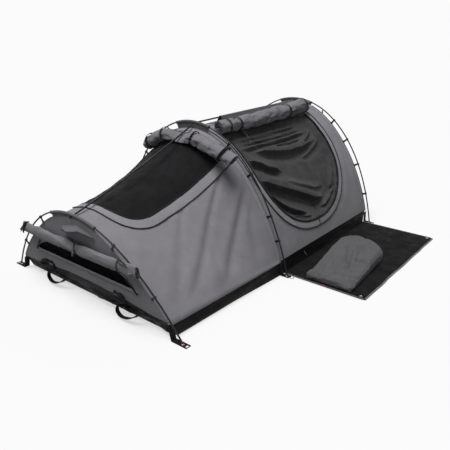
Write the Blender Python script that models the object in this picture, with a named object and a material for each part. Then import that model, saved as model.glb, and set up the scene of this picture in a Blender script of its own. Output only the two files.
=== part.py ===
"""A double dome swag bedroll: a canvas sleeping shell on three bent hoop poles.

Metres, +Z up. The origin is on the ground at the centre of the tub floor.
+Y runs from the low foot end to the tall head end, +X to the side with the mat.
"""
import math
from collections import namedtuple

import bmesh
import bpy
from mathutils import Matrix, Vector

# Driving sizes of the frame
HOOP_SPAN = 1.4646
HOOP_RADIUS = 0.00475
RIDGE_RADIUS = 0.0055
FOOT_HOOP_Y = -1.075
MID_HOOP_Y = -0.131
HEAD_HOOP_Y = 1.075
FOOT_HOOP_HEIGHT = 0.536
MID_HOOP_HEIGHT = 0.893
HEAD_HOOP_HEIGHT = 0.909
FOOT_HOOP_LEAN = -0.0675
MID_HOOP_LEAN = -0.0476
HEAD_HOOP_LEAN = 0.0017

# How far each arch's handles reach in, as shares of half the span
FOOT_SHOULDER_SHARE = 0.5925
MID_SHOULDER_SHARE = 0.363
HEAD_SHOULDER_SHARE = 0.296
APEX_SHARE = 0.75

# Clearances
TOUCH = 0.0003
RUNNING = 0.0006
OVERRUN = 0.02

# Tub and mattress
TUB_WALL = 0.003
TUB_HEIGHT = 0.095
TUB_FOOT_HALF_WIDTH = 0.665
TUB_SIDE_HALF_WIDTH = 0.690
TUB_FOOT_Y = -1.035
TUB_HEAD_Y = 1.053
TUB_CORNER_RADIUS = 0.012
MATTRESS_THICKNESS = 0.065
MATTRESS_CROWN = 0.008
MATTRESS_GAP = 0.018
MATTRESS_CORNER = 0.06
MATTRESS_EDGE = 0.012

# Canvas shell
CANVAS = 0.003
SIDE_GAP = 0.042
SEAM_GAP = 0.026
MID_APEX_GAP = 0.045
FOOT_SAG = 0.060
HEAD_SAG = 0.020
MESH = 0.0016
MESH_MARGIN = 0.012
SAG_START_SHARE = 0.55

# Pole sleeves and the tapes that carry the hooks
SLEEVE_WALL = 0.0022
SLEEVE_LEG = 0.0011
SLEEVE_SLIT = 0.0004
RIDGE_SLEEVE_SLACK = 0.0015
RIDGE_SLEEVE_WALL = 0.0028
TAPE_WIDTH = 0.014
TAPE_THICKNESS = 0.0016
HOOK_WALL = 0.0030
HOOK_LENGTH = 0.010
HOOK_SHANK = 0.0032
TIE_GAP = 0.002

# Pole ends
POLE_END_HEIGHT = 0.016
TIP_COLLAR_LENGTH = 0.005
TIP_COLLAR_RADIUS = 0.0058
TIP_PIN_RADIUS = 0.0030
TIP_GROUND_GAP = 0.0012
RIDGE_OVERHANG = 0.010
RIDGE_CAP_LENGTH = 0.006
RIDGE_CAP_RADIUS = 0.0066
RIDGE_PIN_LENGTH = 0.016
RIDGE_PIN_RADIUS = 0.0035
RIDGE_SAG = 0.015
RIDGE_FOOT_DROP = 0.0145
RIDGE_MID_DROP = 0.022
HEAD_RIDGE_MID_DROP = 0.0125

# Openings in the canvas
ROOF_WINDOW_HALF_WIDTH = 0.255
ROOF_WINDOW_MID_HALF_WIDTH = 0.285
ROOF_WINDOW_SHOULDER_Y = -0.720
ROOF_WINDOW_MID_Y = -0.268
DOOR_CENTRE_Y = 0.400
DOOR_HALF_LENGTH = 0.490
DOOR_SHOULDER_Z = 0.720
DOOR_DEPTH = 0.500
DOOR_TOP_Z = 0.815
FOOT_WINDOW_BASE_Z = 0.205
FOOT_WINDOW_HALF_WIDTH = 0.435
FOOT_WINDOW_HEIGHT = 0.125
ROOF_WINDOW_POWER = 3.0
DOOR_POWER = 2.3
FOOT_WINDOW_POWER = 1.8

# Folds of the slack door mesh
DOOR_DROOP = 0.014
DOOR_FOLD = 0.008
DOOR_FOLDS = 5.5
DOOR_FAN_Y = -0.16
DOOR_FAN_Z = 0.78

# Rolled covers
DOOR_ROLL_RADIUS = 0.045
DOOR_ROLL_THICKNESS = 0.040
DOOR_ROLL_TIE_DEPTH = 0.006
DOOR_ROLL_LOW_SHARE = 0.05
DOOR_ROLL_HIGH_SHARE = 0.875
DOOR_ROLL_COLUMN = 22
ROOF_ROLL_HALF_WIDTH = 0.048
ROOF_ROLL_END_THICKNESS = 0.036
ROOF_ROLL_MID_THICKNESS = 0.0115
ROOF_ROLL_END_LIFT = 0.080
ROOF_ROLL_ROW = 9
ROOF_ROLL_FAR_STEPS = 7
ROOF_ROLL_NEAR_STEPS = 9
ROOF_ROLL_PRESS = 3
COVER_BAND = 0.045
ROLL_HOLLOW_DEPTH = 0.020
ROLL_HOLLOW_SHARE = 0.55
BAR_LOW_X = -0.485
BAR_HIGH_X = 0.505
BAR_Z = 0.359
BAR_HEIGHT = 0.056
BAR_DEPTH = 0.034
BAR_TIE_DEPTH = 0.005
BAR_DROOP = 0.006

# Vent hood
HOOD_LEFT_X = -0.125
HOOD_RIGHT_X = 0.190
HOOD_TOP_DROP = 0.034
HOOD_LIP_LEFT_Z = 0.425
HOOD_LIP_RIGHT_Z = 0.488
HOOD_REACH = 0.048
HOOD_WALL = 0.003

# Webbing tabs at the pole feet
TAB_WIDTH = 0.036
TAB_THICKNESS = 0.0020
TAB_REACH = 0.034
TAB_RISE = 0.082
TAB_HOLE_RADIUS = 0.0075
PEG_HOLE_LENGTH = 0.012
PEG_HOLE_WIDTH = 0.018
TAB_MARGIN = 0.0045
RING_WIRE_RADIUS = 0.0020
RING_BAR_HALF = 0.0135
RING_REACH = 0.024
EYE_WALL = 0.0016

# Storage straps at the foot end
BUCKLE_WIDTH = 0.034
BUCKLE_THICKNESS = 0.012
BUCKLE_WALL = 0.0022
SOCKET_LENGTH = 0.036
PLUG_BASE_LENGTH = 0.016
PRONG_LENGTH = 0.024
PRONG_WIDTH = 0.0045
BUCKLE_Z = 0.122
BUCKLE_LEFT_X = -0.318
BUCKLE_RIGHT_X = 0.284
BUCKLE_SLOT = 0.004
LOOP_STRAP_WIDTH = 0.025
LOOP_STRAP_THICKNESS = 0.0022
LOOP_TOP_Z = 0.086
LOOP_LOW_Z = 0.014
LOOP_HALF_WIDTH = 0.066
LOOP_CENTRE_OFFSET = 0.078

# Entry mat and gear bag
MAT_OUTER_X = 1.241
MAT_LOW_Y = -0.106
MAT_HIGH_Y = 1.050
MAT_THICKNESS = 0.0030
MAT_BINDING_WIDTH = 0.016
MAT_BINDING_WALL = 0.0012
EYELET_RADIUS = 0.006
EYELET_INSET = 0.022
BAG_LOW_X = 0.790
BAG_HIGH_X = 1.150
BAG_LOW_Y = -0.098
BAG_HIGH_Y = 0.568
BAG_HEIGHT = 0.058
BAG_CROWN = 0.014
BAG_NEAR_CORNER = 0.020
BAG_FAR_CORNER = 0.150
BAG_EDGE = 0.012

# Zip sliders of the doors
SLIDER_LENGTH = 0.014
SLIDER_WIDTH = 0.010
SLIDER_HEIGHT = 0.006
SLIDER_BELOW_DOOR = 0.014
SLIDER_EAR_LENGTH = 0.0034
SLIDER_EAR_WIDTH = 0.0022
PULL_LENGTH = 0.034
PULL_THICKNESS = 0.0018
BARREL_RADIUS = 0.0014

# Counts
ACROSS = 36
POLE_FOOT_STEPS = 2
POLE_SIDES = 8
FOOT_LENGTH_STEPS = 10
HEAD_LENGTH_STEPS = 10
OUTLINE_STEPS = 24
ROLL_SIDES = 12
ROLL_STEPS = 16
CORNER_STEPS = 4
BISECTIONS = 50

Hoop = namedtuple("Hoop", "y lean height shoulder apex_gap")


def foot_apex_gap():
    """Depth of the canvas under the low hoop, with the ridge pole in between."""
    return RIDGE_FOOT_DROP + RIDGE_RADIUS + TOUCH + TOUCH


FOOT = Hoop(FOOT_HOOP_Y, FOOT_HOOP_LEAN, FOOT_HOOP_HEIGHT, FOOT_SHOULDER_SHARE, foot_apex_gap())
MID = Hoop(MID_HOOP_Y, MID_HOOP_LEAN, MID_HOOP_HEIGHT, MID_SHOULDER_SHARE, MID_APEX_GAP)
HEAD = Hoop(HEAD_HOOP_Y, HEAD_HOOP_LEAN, HEAD_HOOP_HEIGHT, HEAD_SHOULDER_SHARE, foot_apex_gap())


# Scene and mesh helpers

def clear_scene():
    for item in list(bpy.data.objects):
        bpy.data.objects.remove(item, do_unlink=True)


def paint(name, colour, roughness, metallic):
    material = bpy.data.materials.new(name)
    material.use_nodes = True
    shader = material.node_tree.nodes["Principled BSDF"]
    shader.inputs["Base Color"].default_value = (*colour, 1)
    shader.inputs["Roughness"].default_value = roughness
    shader.inputs["Metallic"].default_value = metallic
    return material


FINISHES = {
    "canvas": ((0.19, 0.185, 0.19), 0.85, 0),
    "pvc": ((0.03, 0.03, 0.032), 0.6, 0),
    "mesh": ((0.02, 0.02, 0.02), 0.7, 0),
    "pole": ((0.02, 0.02, 0.022), 0.35, 1),
    "tip": ((0.35, 0.02, 0.03), 0.45, 0),
    "webbing": ((0.015, 0.015, 0.015), 0.8, 0),
    "plastic": ((0.012, 0.012, 0.012), 0.4, 0),
    "steel": ((0.6, 0.6, 0.6), 0.3, 1),
    "foam": ((0.05, 0.05, 0.055), 0.9, 0),
    "binding": ((0.30, 0.30, 0.30), 0.8, 0),
}


def add_mesh(name, points, faces, finish, smooth_angle=math.radians(40)):
    """A new object from points and faces, closed and facing out."""
    work = bmesh.new()
    corners = [work.verts.new(point) for point in points]
    for face in faces:
        work.faces.new([corners[index] for index in face])
    bmesh.ops.recalc_face_normals(work, faces=work.faces)
    if work.calc_volume(signed=True) < 0:
        bmesh.ops.reverse_faces(work, faces=work.faces)
    mesh = bpy.data.meshes.new(name)
    work.to_mesh(mesh)
    work.free()
    mesh.shade_smooth()
    mesh.set_sharp_from_angle(angle=smooth_angle)
    mesh.materials.append(paint(name, *FINISHES[finish]))
    item = bpy.data.objects.new(name, mesh)
    bpy.context.scene.collection.objects.link(item)
    return item


def as_helper(item):
    item.hide_render = True
    item.display_type = "WIRE"
    return item


def combine(target, tool, operation):
    """A Boolean of the target with a helper that the build leaves out."""
    as_helper(tool)
    change = target.modifiers.new(operation.title(), "BOOLEAN")
    change.operation = operation
    change.solver = "EXACT"
    change.object = tool
    return target


def sweep_faces(rings, sides):
    """Side faces of a tube of rings, with its two end caps."""
    faces = []
    for row in range(rings - 1):
        for side in range(sides):
            after = (side + 1) % sides
            low = row * sides
            high = low + sides
            faces.append((low + side, low + after, high + after, high + side))
    faces.append(tuple(range(sides)))
    faces.append(tuple((rings - 1) * sides + side for side in range(sides)))
    return faces


def sweep(name, rings, finish):
    """A closed solid through a list of equal rings of points."""
    sides = len(rings[0])
    points = [point for ring in rings for point in ring]
    return add_mesh(name, points, sweep_faces(len(rings), sides), finish)


def grid_solid(name, outer, inner, finish):
    """A sheet of real thickness between two grids of points."""
    rows = len(outer)
    columns = len(outer[0])
    points = [point for row in outer for point in row]
    points += [point for row in inner for point in row]
    shift = rows * columns
    faces = []
    for row in range(rows - 1):
        for column in range(columns - 1):
            corner = row * columns + column
            across = corner + columns + 1
            for triangle in ((corner, corner + 1, across), (corner, across, corner + columns)):
                faces.append(triangle)
                faces.append(tuple(index + shift for index in reversed(triangle)))
    border = [(0, column) for column in range(columns)]
    border += [(row, columns - 1) for row in range(1, rows)]
    border += [(rows - 1, column) for column in range(columns - 2, -1, -1)]
    border += [(row, 0) for row in range(rows - 2, 0, -1)]
    for place, (row, column) in enumerate(border):
        next_row, next_column = border[(place + 1) % len(border)]
        here = row * columns + column
        there = next_row * columns + next_column
        faces.append((here, here + shift, there + shift, there))
    return add_mesh(name, points, faces, finish)


def prism(name, outline, direction, finish):
    """A flat outline of points pushed along a direction."""
    low = [Vector(point) for point in outline]
    high = [point + Vector(direction) for point in low]
    return sweep(name, [low, high], finish)


def box(name, low, high, finish):
    outline = [(low[0], low[1], low[2]), (high[0], low[1], low[2]),
               (high[0], high[1], low[2]), (low[0], high[1], low[2])]
    return prism(name, outline, (0, 0, high[2] - low[2]), finish)


def circle_ring(centre, side_a, side_b, radius, count, radius_b=None):
    """Points round a centre in the plane of two unit vectors."""
    reach_b = radius if radius_b is None else radius_b
    turn = 2 * math.pi / count
    return [centre + side_a * (radius * math.cos(turn * step)) + side_b * (reach_b * math.sin(turn * step))
            for step in range(count)]


def ease(share):
    held = min(max(share, 0), 1)
    return held * held * (3 - 2 * held)


def blend(low, high, share):
    return low + (high - low) * share


# The hoop poles' curves

def hoop_point(hoop, share):
    """The pole's axis: a symmetric arch, leaning with its height."""
    half = HOOP_SPAN / 2
    rest = 1 - share
    weights = (rest ** 3, 3 * share * rest ** 2, 3 * share ** 2 * rest, share ** 3)
    reach = half * (1 - hoop.shoulder)
    across = half * (weights[3] - weights[0]) + reach * (weights[2] - weights[1])
    rise = hoop.height / APEX_SHARE * (weights[1] + weights[2])
    return Vector((across, hoop.y + hoop.lean * rise / hoop.height, rise))


def hoop_frame(hoop, share):
    """Tangent, inward normal and lengthwise normal of the arch."""
    step = 1 / (ACROSS * ACROSS)
    tangent = (hoop_point(hoop, share + step) - hoop_point(hoop, share - step)).normalized()
    length = Vector((0, 1, -hoop.lean / hoop.height)).normalized()
    inward = length.cross(tangent).normalized()
    return tangent, inward, length


def find_share(test, low, high):
    """The share between low and high at which a rising test reaches zero."""
    for _ in range(BISECTIONS):
        middle = (low + high) / 2
        if test(middle) < 0:
            low = middle
        else:
            high = middle
    return (low + high) / 2


def canvas_gap(hoop, share):
    """From the pole's axis in to the canvas: least at the top, most at the shoulder."""
    side = abs(2 * share - 1)
    if side < SAG_START_SHARE:
        return blend(hoop.apex_gap, SIDE_GAP, ease(side / SAG_START_SHARE))
    return blend(SIDE_GAP, SEAM_GAP, ease((side - SAG_START_SHARE) / (1 - SAG_START_SHARE)))


def canvas_point(hoop, share, depth):
    _, inward, _ = hoop_frame(hoop, share)
    return hoop_point(hoop, share) + inward * (canvas_gap(hoop, share) + depth)


def seam_share(hoop, depth, height):
    return find_share(lambda share: canvas_point(hoop, share, depth).z - height, 0, 1 / 4)


SEAM_SHARES = {}


def station(hoop, place):
    """The arch share at a place from 0 to 1 between the canvas's two seams."""
    if hoop not in SEAM_SHARES:
        SEAM_SHARES[hoop] = seam_share(hoop, 0, TUB_HEIGHT + TOUCH)
    low = SEAM_SHARES[hoop]
    return blend(low, 1 - low, place)


def arch_point(hoop, place, depth):
    """A point of the canvas arch under a hoop, with both its ends on the seam's level."""
    point = canvas_point(hoop, station(hoop, place), depth)
    if place in (0, 1):
        point.z = TUB_HEIGHT + TOUCH
        point.y = plane_y(hoop, point.z)
    return point


def section_point(low_hoop, high_hoop, along, place, depth, sag):
    """A point of a canvas section: along runs between hoops, place across them."""
    point = arch_point(low_hoop, place, depth).lerp(arch_point(high_hoop, place, depth), along)
    inward = section_inward(low_hoop, high_hoop, along, place)
    side = abs(2 * place - 1)
    hold = 1 - max(0, (side - SAG_START_SHARE) / (1 - SAG_START_SHARE)) ** 2
    return point + inward * (sag * 4 * along * (1 - along) * hold)


def section_inward(low_hoop, high_hoop, along, place):
    _, low_inward, _ = hoop_frame(low_hoop, station(low_hoop, place))
    _, high_inward, _ = hoop_frame(high_hoop, station(high_hoop, place))
    return low_inward.lerp(high_inward, along).normalized()


def facet_point(low_hoop, high_hoop, along, place, depth, sag, steps):
    """A point on the straight run between two rows of a canvas section."""
    row = min(math.floor(along * steps), steps - 1)
    low = section_point(low_hoop, high_hoop, row / steps, place, depth, sag)
    high = section_point(low_hoop, high_hoop, (row + 1) / steps, place, depth, sag)
    return low.lerp(high, along * steps - row)


def section_grid(low_hoop, high_hoop, sag, alongs, places, depth):
    return [[section_point(low_hoop, high_hoop, along, place, depth, sag) for place in places]
            for along in alongs]


def even_shares(steps, low=0, high=1):
    return [blend(low, high, step / steps) for step in range(steps + 1)]


# Outlines of the openings

def roof_window_outline(margin):
    """Plan view of the roof window: a rounded front and sides that widen to the mid hoop."""
    half = ROOF_WINDOW_HALF_WIDTH + margin
    wide = ROOF_WINDOW_MID_HALF_WIDTH + margin
    points = [(wide, ROOF_WINDOW_MID_Y + margin)]
    for step in range(OUTLINE_STEPS + 1):
        angle = math.pi * step / OUTLINE_STEPS
        across = math.copysign(abs(math.cos(angle)) ** (2 / ROOF_WINDOW_POWER), math.cos(angle))
        forward = math.sin(angle) ** (2 / ROOF_WINDOW_POWER)
        points.append((half * across, ROOF_WINDOW_SHOULDER_Y - half * forward))
    points.append((-wide, ROOF_WINDOW_MID_Y + margin))
    return points


def door_outline(margin):
    """Side view of the door: straight at the top and one deep curve below."""
    half = DOOR_HALF_LENGTH + margin
    deep = DOOR_DEPTH + margin
    points = [(DOOR_CENTRE_Y + half, DOOR_TOP_Z + margin)]
    for step in range(OUTLINE_STEPS + 1):
        angle = math.pi * step / OUTLINE_STEPS
        across = math.copysign(abs(math.cos(angle)) ** (2 / DOOR_POWER), math.cos(angle))
        down = math.sin(angle) ** (2 / DOOR_POWER)
        points.append((DOOR_CENTRE_Y + half * across, DOOR_SHOULDER_Z - deep * down))
    points.append((DOOR_CENTRE_Y - half, DOOR_TOP_Z + margin))
    return points


def foot_window_outline(margin):
    """End view of the foot window: a low dome on a straight base."""
    half = FOOT_WINDOW_HALF_WIDTH + margin
    tall = FOOT_WINDOW_HEIGHT + margin
    points = []
    for step in range(OUTLINE_STEPS + 1):
        angle = math.pi * step / OUTLINE_STEPS
        across = math.copysign(abs(math.cos(angle)) ** (2 / FOOT_WINDOW_POWER), math.cos(angle))
        rise = math.sin(angle) ** (2 / FOOT_WINDOW_POWER)
        points.append((half * across, FOOT_WINDOW_BASE_Z - margin + (tall + margin) * rise))
    return points


def roof_window_cutter(name, margin):
    outline = [Vector((x, y, FOOT_HOOP_HEIGHT / 2)) for x, y in roof_window_outline(margin)]
    return as_helper(prism(name, outline, (0, 0, MID_HOOP_HEIGHT), "mesh"))


def door_cutter(name, margin, side):
    start = RIDGE_CAP_LENGTH + OVERRUN
    outline = [Vector((side * start, y, z)) for y, z in door_outline(margin)]
    return as_helper(prism(name, outline, (side * HOOP_SPAN / 2, 0, 0), "mesh"))


def foot_window_cutter(name, margin):
    outline = [Vector((x, FOOT_HOOP_Y + FOOT_HOOP_LEAN - OVERRUN, z)) for x, z in foot_window_outline(margin)]
    return as_helper(prism(name, outline, (0, OVERRUN - 2 * FOOT_HOOP_LEAN + OVERRUN, 0), "mesh"))


# Tub and mattress

def rim_half_width(hoop):
    share = seam_share(hoop, 0, TUB_HEIGHT)
    return -canvas_point(hoop, share, 0).x


def plane_y(hoop, height):
    return hoop.y + hoop.lean * height / hoop.height


def tub_side_x(y, height):
    """Half width of the tub's outer face at a place along it and a height."""
    rise = height / TUB_HEIGHT
    foot_x = blend(TUB_FOOT_HALF_WIDTH, rim_half_width(FOOT), rise)
    mid_x = blend(TUB_SIDE_HALF_WIDTH, rim_half_width(MID), rise)
    head_x = blend(TUB_SIDE_HALF_WIDTH, rim_half_width(HEAD), rise)
    mid_y = plane_y(MID, height)
    if y < mid_y:
        foot_y = tub_foot_y(height)
        return blend(foot_x, mid_x, (y - foot_y) / (mid_y - foot_y))
    return blend(mid_x, head_x, (y - mid_y) / (tub_head_y(height) - mid_y))


def tub_foot_y(height):
    return blend(TUB_FOOT_Y, plane_y(FOOT, TUB_HEIGHT), height / TUB_HEIGHT)


def tub_head_y(height):
    return blend(TUB_HEAD_Y, plane_y(HEAD, TUB_HEIGHT), height / TUB_HEIGHT)


def rounded_corner(corner, toward_a, toward_b, radius):
    """An arc that replaces a corner between two directions."""
    start = corner + toward_a * radius
    end = corner + toward_b * radius
    points = []
    for step in range(CORNER_STEPS + 1):
        share = step / CORNER_STEPS
        near = start.lerp(corner, share)
        far = corner.lerp(end, share)
        points.append(near.lerp(far, share))
    return points


def tub_ring(height, level, inset):
    """The tub's outline at a height, drawn in by an inset, at a level in Z."""
    foot_y = tub_foot_y(height) + inset
    head_y = tub_head_y(height) - inset
    mid_y = plane_y(MID, height)
    corners = [(tub_side_x(foot_y, height) - inset, foot_y), (tub_side_x(mid_y, height) - inset, mid_y),
               (tub_side_x(head_y, height) - inset, head_y)]
    loop = corners + [(-x, y) for x, y in reversed(corners)]
    points = [Vector((x, y, level)) for x, y in loop]
    ring = []
    for index, point in enumerate(points):
        before = points[index - 1]
        after = points[(index + 1) % len(points)]
        if index in (1, 4):
            ring.append(point)
            continue
        ring += rounded_corner(point, (before - point).normalized(), (after - point).normalized(),
                               TUB_CORNER_RADIUS)
    return ring


def make_tub():
    rings = [tub_ring(0, 0, 0), tub_ring(TUB_HEIGHT, TUB_HEIGHT, 0),
             tub_ring(TUB_HEIGHT, TUB_HEIGHT, TUB_WALL), tub_ring(0, TUB_WALL, TUB_WALL)]
    sweep("tub_floor", rings, "pvc")


def rounded_rectangle(low_x, high_x, low_y, high_y, level, low_radius, high_radius):
    """A level loop with one corner radius at its low end and one at its high end."""
    corners = [(Vector((high_x, low_y, level)), Vector((-1, 0, 0)), Vector((0, 1, 0)), low_radius),
               (Vector((high_x, high_y, level)), Vector((0, -1, 0)), Vector((-1, 0, 0)), high_radius),
               (Vector((low_x, high_y, level)), Vector((1, 0, 0)), Vector((0, -1, 0)), high_radius),
               (Vector((low_x, low_y, level)), Vector((0, 1, 0)), Vector((1, 0, 0)), low_radius)]
    return [point for corner in corners for point in rounded_corner(*corner)]


def cushion_rings(bounds, base, height, crown, edge, low_radius, high_radius):
    """Level loops of a soft block: drawn in at its base and rim, crowned on top."""
    low_x, high_x, low_y, high_y = bounds
    levels = ((0, edge), (edge, 0), (height - edge, 0), (height, edge), (height + crown / 2, 3 * edge))
    rings = []
    for level, inset in levels:
        rings.append(rounded_rectangle(low_x + inset, high_x - inset, low_y + inset, high_y - inset,
                                       base + level, low_radius, high_radius))
    inner = (high_x - low_x) / 4
    rings.append(rounded_rectangle(low_x + inner, high_x - inner, low_y + inner, high_y - inner,
                                   base + height + crown, low_radius, low_radius))
    return rings


def make_mattress():
    half = rim_half_width(FOOT) - TUB_WALL - MATTRESS_GAP
    bounds = (-half, half, TUB_FOOT_Y + TUB_WALL + MATTRESS_GAP, TUB_HEAD_Y - TUB_WALL - MATTRESS_GAP)
    rings = cushion_rings(bounds, TUB_WALL + TOUCH, MATTRESS_THICKNESS, MATTRESS_CROWN, MATTRESS_EDGE,
                          MATTRESS_CORNER, MATTRESS_CORNER)
    sweep("mattress", rings, "foam")


# Canvas sections, end walls and mesh panels

def make_foot_section():
    alongs = even_shares(FOOT_LENGTH_STEPS)
    places = even_shares(ACROSS)
    outer = section_grid(FOOT, MID, FOOT_SAG, alongs, places, 0)
    inner = section_grid(FOOT, MID, FOOT_SAG, alongs, places, CANVAS)
    for grid in (outer, inner):
        grid[-1] = [point - Vector((0, TOUCH / 2, 0)) for point in grid[-1]]
    section = grid_solid("foot_section_canvas", outer, inner, "canvas")
    combine(section, roof_window_cutter("roof_window_cutter", 0), "DIFFERENCE")


def make_roof_mesh():
    steps = FOOT_LENGTH_STEPS
    alongs = even_shares(steps)
    places = [place for place in even_shares(ACROSS) if abs(place - 1 / 2) < 1 / 3]
    top = CANVAS + TOUCH
    outer = section_grid(FOOT, MID, FOOT_SAG, alongs, places, top)
    inner = section_grid(FOOT, MID, FOOT_SAG, alongs, places, top + MESH)
    panel = grid_solid("roof_window_mesh", outer, inner, "mesh")
    combine(panel, roof_window_cutter("roof_mesh_cutter", MESH_MARGIN), "INTERSECT")


def make_head_section():
    alongs = even_shares(HEAD_LENGTH_STEPS)
    places = even_shares(ACROSS)
    outer = section_grid(MID, HEAD, HEAD_SAG, alongs, places, 0)
    inner = section_grid(MID, HEAD, HEAD_SAG, alongs, places, CANVAS)
    for grid in (outer, inner):
        grid[0] = [point + Vector((0, TOUCH / 2, 0)) for point in grid[0]]
    section = grid_solid("head_section_canvas", outer, inner, "canvas")
    combine(section, door_cutter("near_door_cutter", 0, 1), "DIFFERENCE")
    combine(section, door_cutter("far_door_cutter", 0, -1), "DIFFERENCE")


def door_slack(point):
    """How far the slack mesh hangs in at a point: folds that fan from the top corner."""
    across = abs(point.y - DOOR_CENTRE_Y) / DOOR_HALF_LENGTH
    down = max(0, DOOR_SHOULDER_Z - point.z) / DOOR_DEPTH
    inside = max(0, 1 - across ** DOOR_POWER - down ** DOOR_POWER)
    top = ease((DOOR_TOP_Z - point.z) / (DOOR_TOP_Z - DOOR_SHOULDER_Z))
    angle = math.atan2(DOOR_FAN_Z - point.z, point.y - DOOR_FAN_Y)
    fold = 1 + math.cos(2 * math.pi * DOOR_FOLDS * angle / (math.pi / 2))
    return ease(inside) * top * (DOOR_DROOP + DOOR_FOLD * fold)


def side_places(side):
    """The canvas columns of one side, from just beside the ridge to the seam."""
    return [place for place in even_shares(ACROSS) if side * (place - 1 / 2) > 1 / ACROSS]


def make_door_mesh(name, side):
    places = side_places(side)
    alongs = even_shares(2 * HEAD_LENGTH_STEPS if side > 0 else HEAD_LENGTH_STEPS)
    top = CANVAS + TOUCH
    grids = []
    for depth in (top, top + MESH):
        grid = [[facet_point(MID, HEAD, along, place, depth, HEAD_SAG, HEAD_LENGTH_STEPS) for place in places]
                for along in alongs]
        for row, along in zip(grid, alongs):
            for column, place in enumerate(places):
                inward = section_inward(MID, HEAD, along, place)
                row[column] = row[column] + inward * door_slack(row[column])
        grids.append(grid)
    panel = grid_solid(name, grids[0], grids[1], "mesh")
    combine(panel, door_cutter(name + "_cutter", MESH_MARGIN, side), "INTERSECT")


def end_wall_outline(hoop, inset, shift):
    """Points of an end wall in its hoop's plane, from one seam over the top to the other."""
    points = []
    for place in even_shares(ACROSS):
        points.append(arch_point(hoop, place, inset) + Vector((0, shift, 0)))
    return points


def make_end_wall(name, hoop, into):
    inset = CANVAS + TOUCH
    outline = end_wall_outline(hoop, inset, 0)
    wall = prism(name, outline, (0, into * CANVAS, 0), "canvas")
    return wall


def make_end_walls():
    foot_wall = make_end_wall("foot_end_wall", FOOT, 1)
    combine(foot_wall, foot_window_cutter("foot_window_cutter", 0), "DIFFERENCE")
    make_end_wall("head_end_wall", HEAD, -1)
    outline = end_wall_outline(FOOT, CANVAS + TOUCH + TOUCH, CANVAS + TOUCH)
    panel = prism("foot_window_mesh", outline, (0, MESH, 0), "mesh")
    combine(panel, foot_window_cutter("foot_mesh_cutter", MESH_MARGIN), "INTERSECT")


# Poles and their ends

def pole_end_share(hoop):
    return find_share(lambda share: hoop_point(hoop, share).z - POLE_END_HEIGHT, 0, 1 / 4)


def pole_shares(hoop):
    end = pole_end_share(hoop)
    seam = station(hoop, 0)
    low = [blend(end, seam, step / POLE_FOOT_STEPS) for step in range(POLE_FOOT_STEPS)]
    high = [1 - share for share in reversed(low)]
    return low + [station(hoop, place) for place in even_shares(ACROSS)] + high


def make_hoop_pole(name, hoop):
    rings = []
    for share in pole_shares(hoop):
        _, inward, length = hoop_frame(hoop, share)
        rings.append(circle_ring(hoop_point(hoop, share), inward, length, HOOP_RADIUS, POLE_SIDES))
    sweep(name, rings, "pole")


def turned(name, start, axis, profile, sides, finish):
    """A turned solid: profile pairs of distance along the axis and radius."""
    side_a = axis.orthogonal().normalized()
    side_b = axis.cross(side_a).normalized()
    rings = [circle_ring(start + axis * distance, side_a, side_b, radius, sides) for distance, radius in profile]
    return sweep(name, rings, finish)


def make_hoop_tip(name, hoop, side):
    """The red spigot between a pole's end and the ground."""
    share = pole_end_share(hoop)
    start = hoop_point(hoop, share)
    tangent, _, _ = hoop_frame(hoop, share)
    axis = -tangent
    start = start + axis * TOUCH
    length = (start.z - TIP_GROUND_GAP) / -axis.z
    pin = TIP_PIN_RADIUS
    profile = ((0, HOOP_RADIUS), (TIP_COLLAR_LENGTH / 4, TIP_COLLAR_RADIUS), (TIP_COLLAR_LENGTH, TIP_COLLAR_RADIUS),
               (TIP_COLLAR_LENGTH, pin), (length - pin, pin), (length - pin / 4, pin * 3 / 4),
               (length, pin / 3))
    if side > 0:
        start.x = -start.x
        axis.x = -axis.x
    turned(name, start, axis, profile, POLE_SIDES, "tip")


def ridge_point(low, high, share, sag):
    point = low.lerp(high, share)
    return point - Vector((0, 0, sag * 4 * share * (1 - share)))


def ridge_anchor(hoop, drop):
    _, inward, _ = hoop_frame(hoop, 1 / 2)
    return hoop_point(hoop, 1 / 2) + inward * drop


def fin_offset():
    """From a sleeve's middle plane to just outside its flat skirt."""
    return SLEEVE_SLIT / 2 + SLEEVE_LEG + TOUCH


def foot_ridge_ends():
    low = ridge_anchor(FOOT, RIDGE_FOOT_DROP)
    high = ridge_anchor(MID, RIDGE_MID_DROP)
    high.y -= fin_offset() + TOUCH
    return low, high


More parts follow.
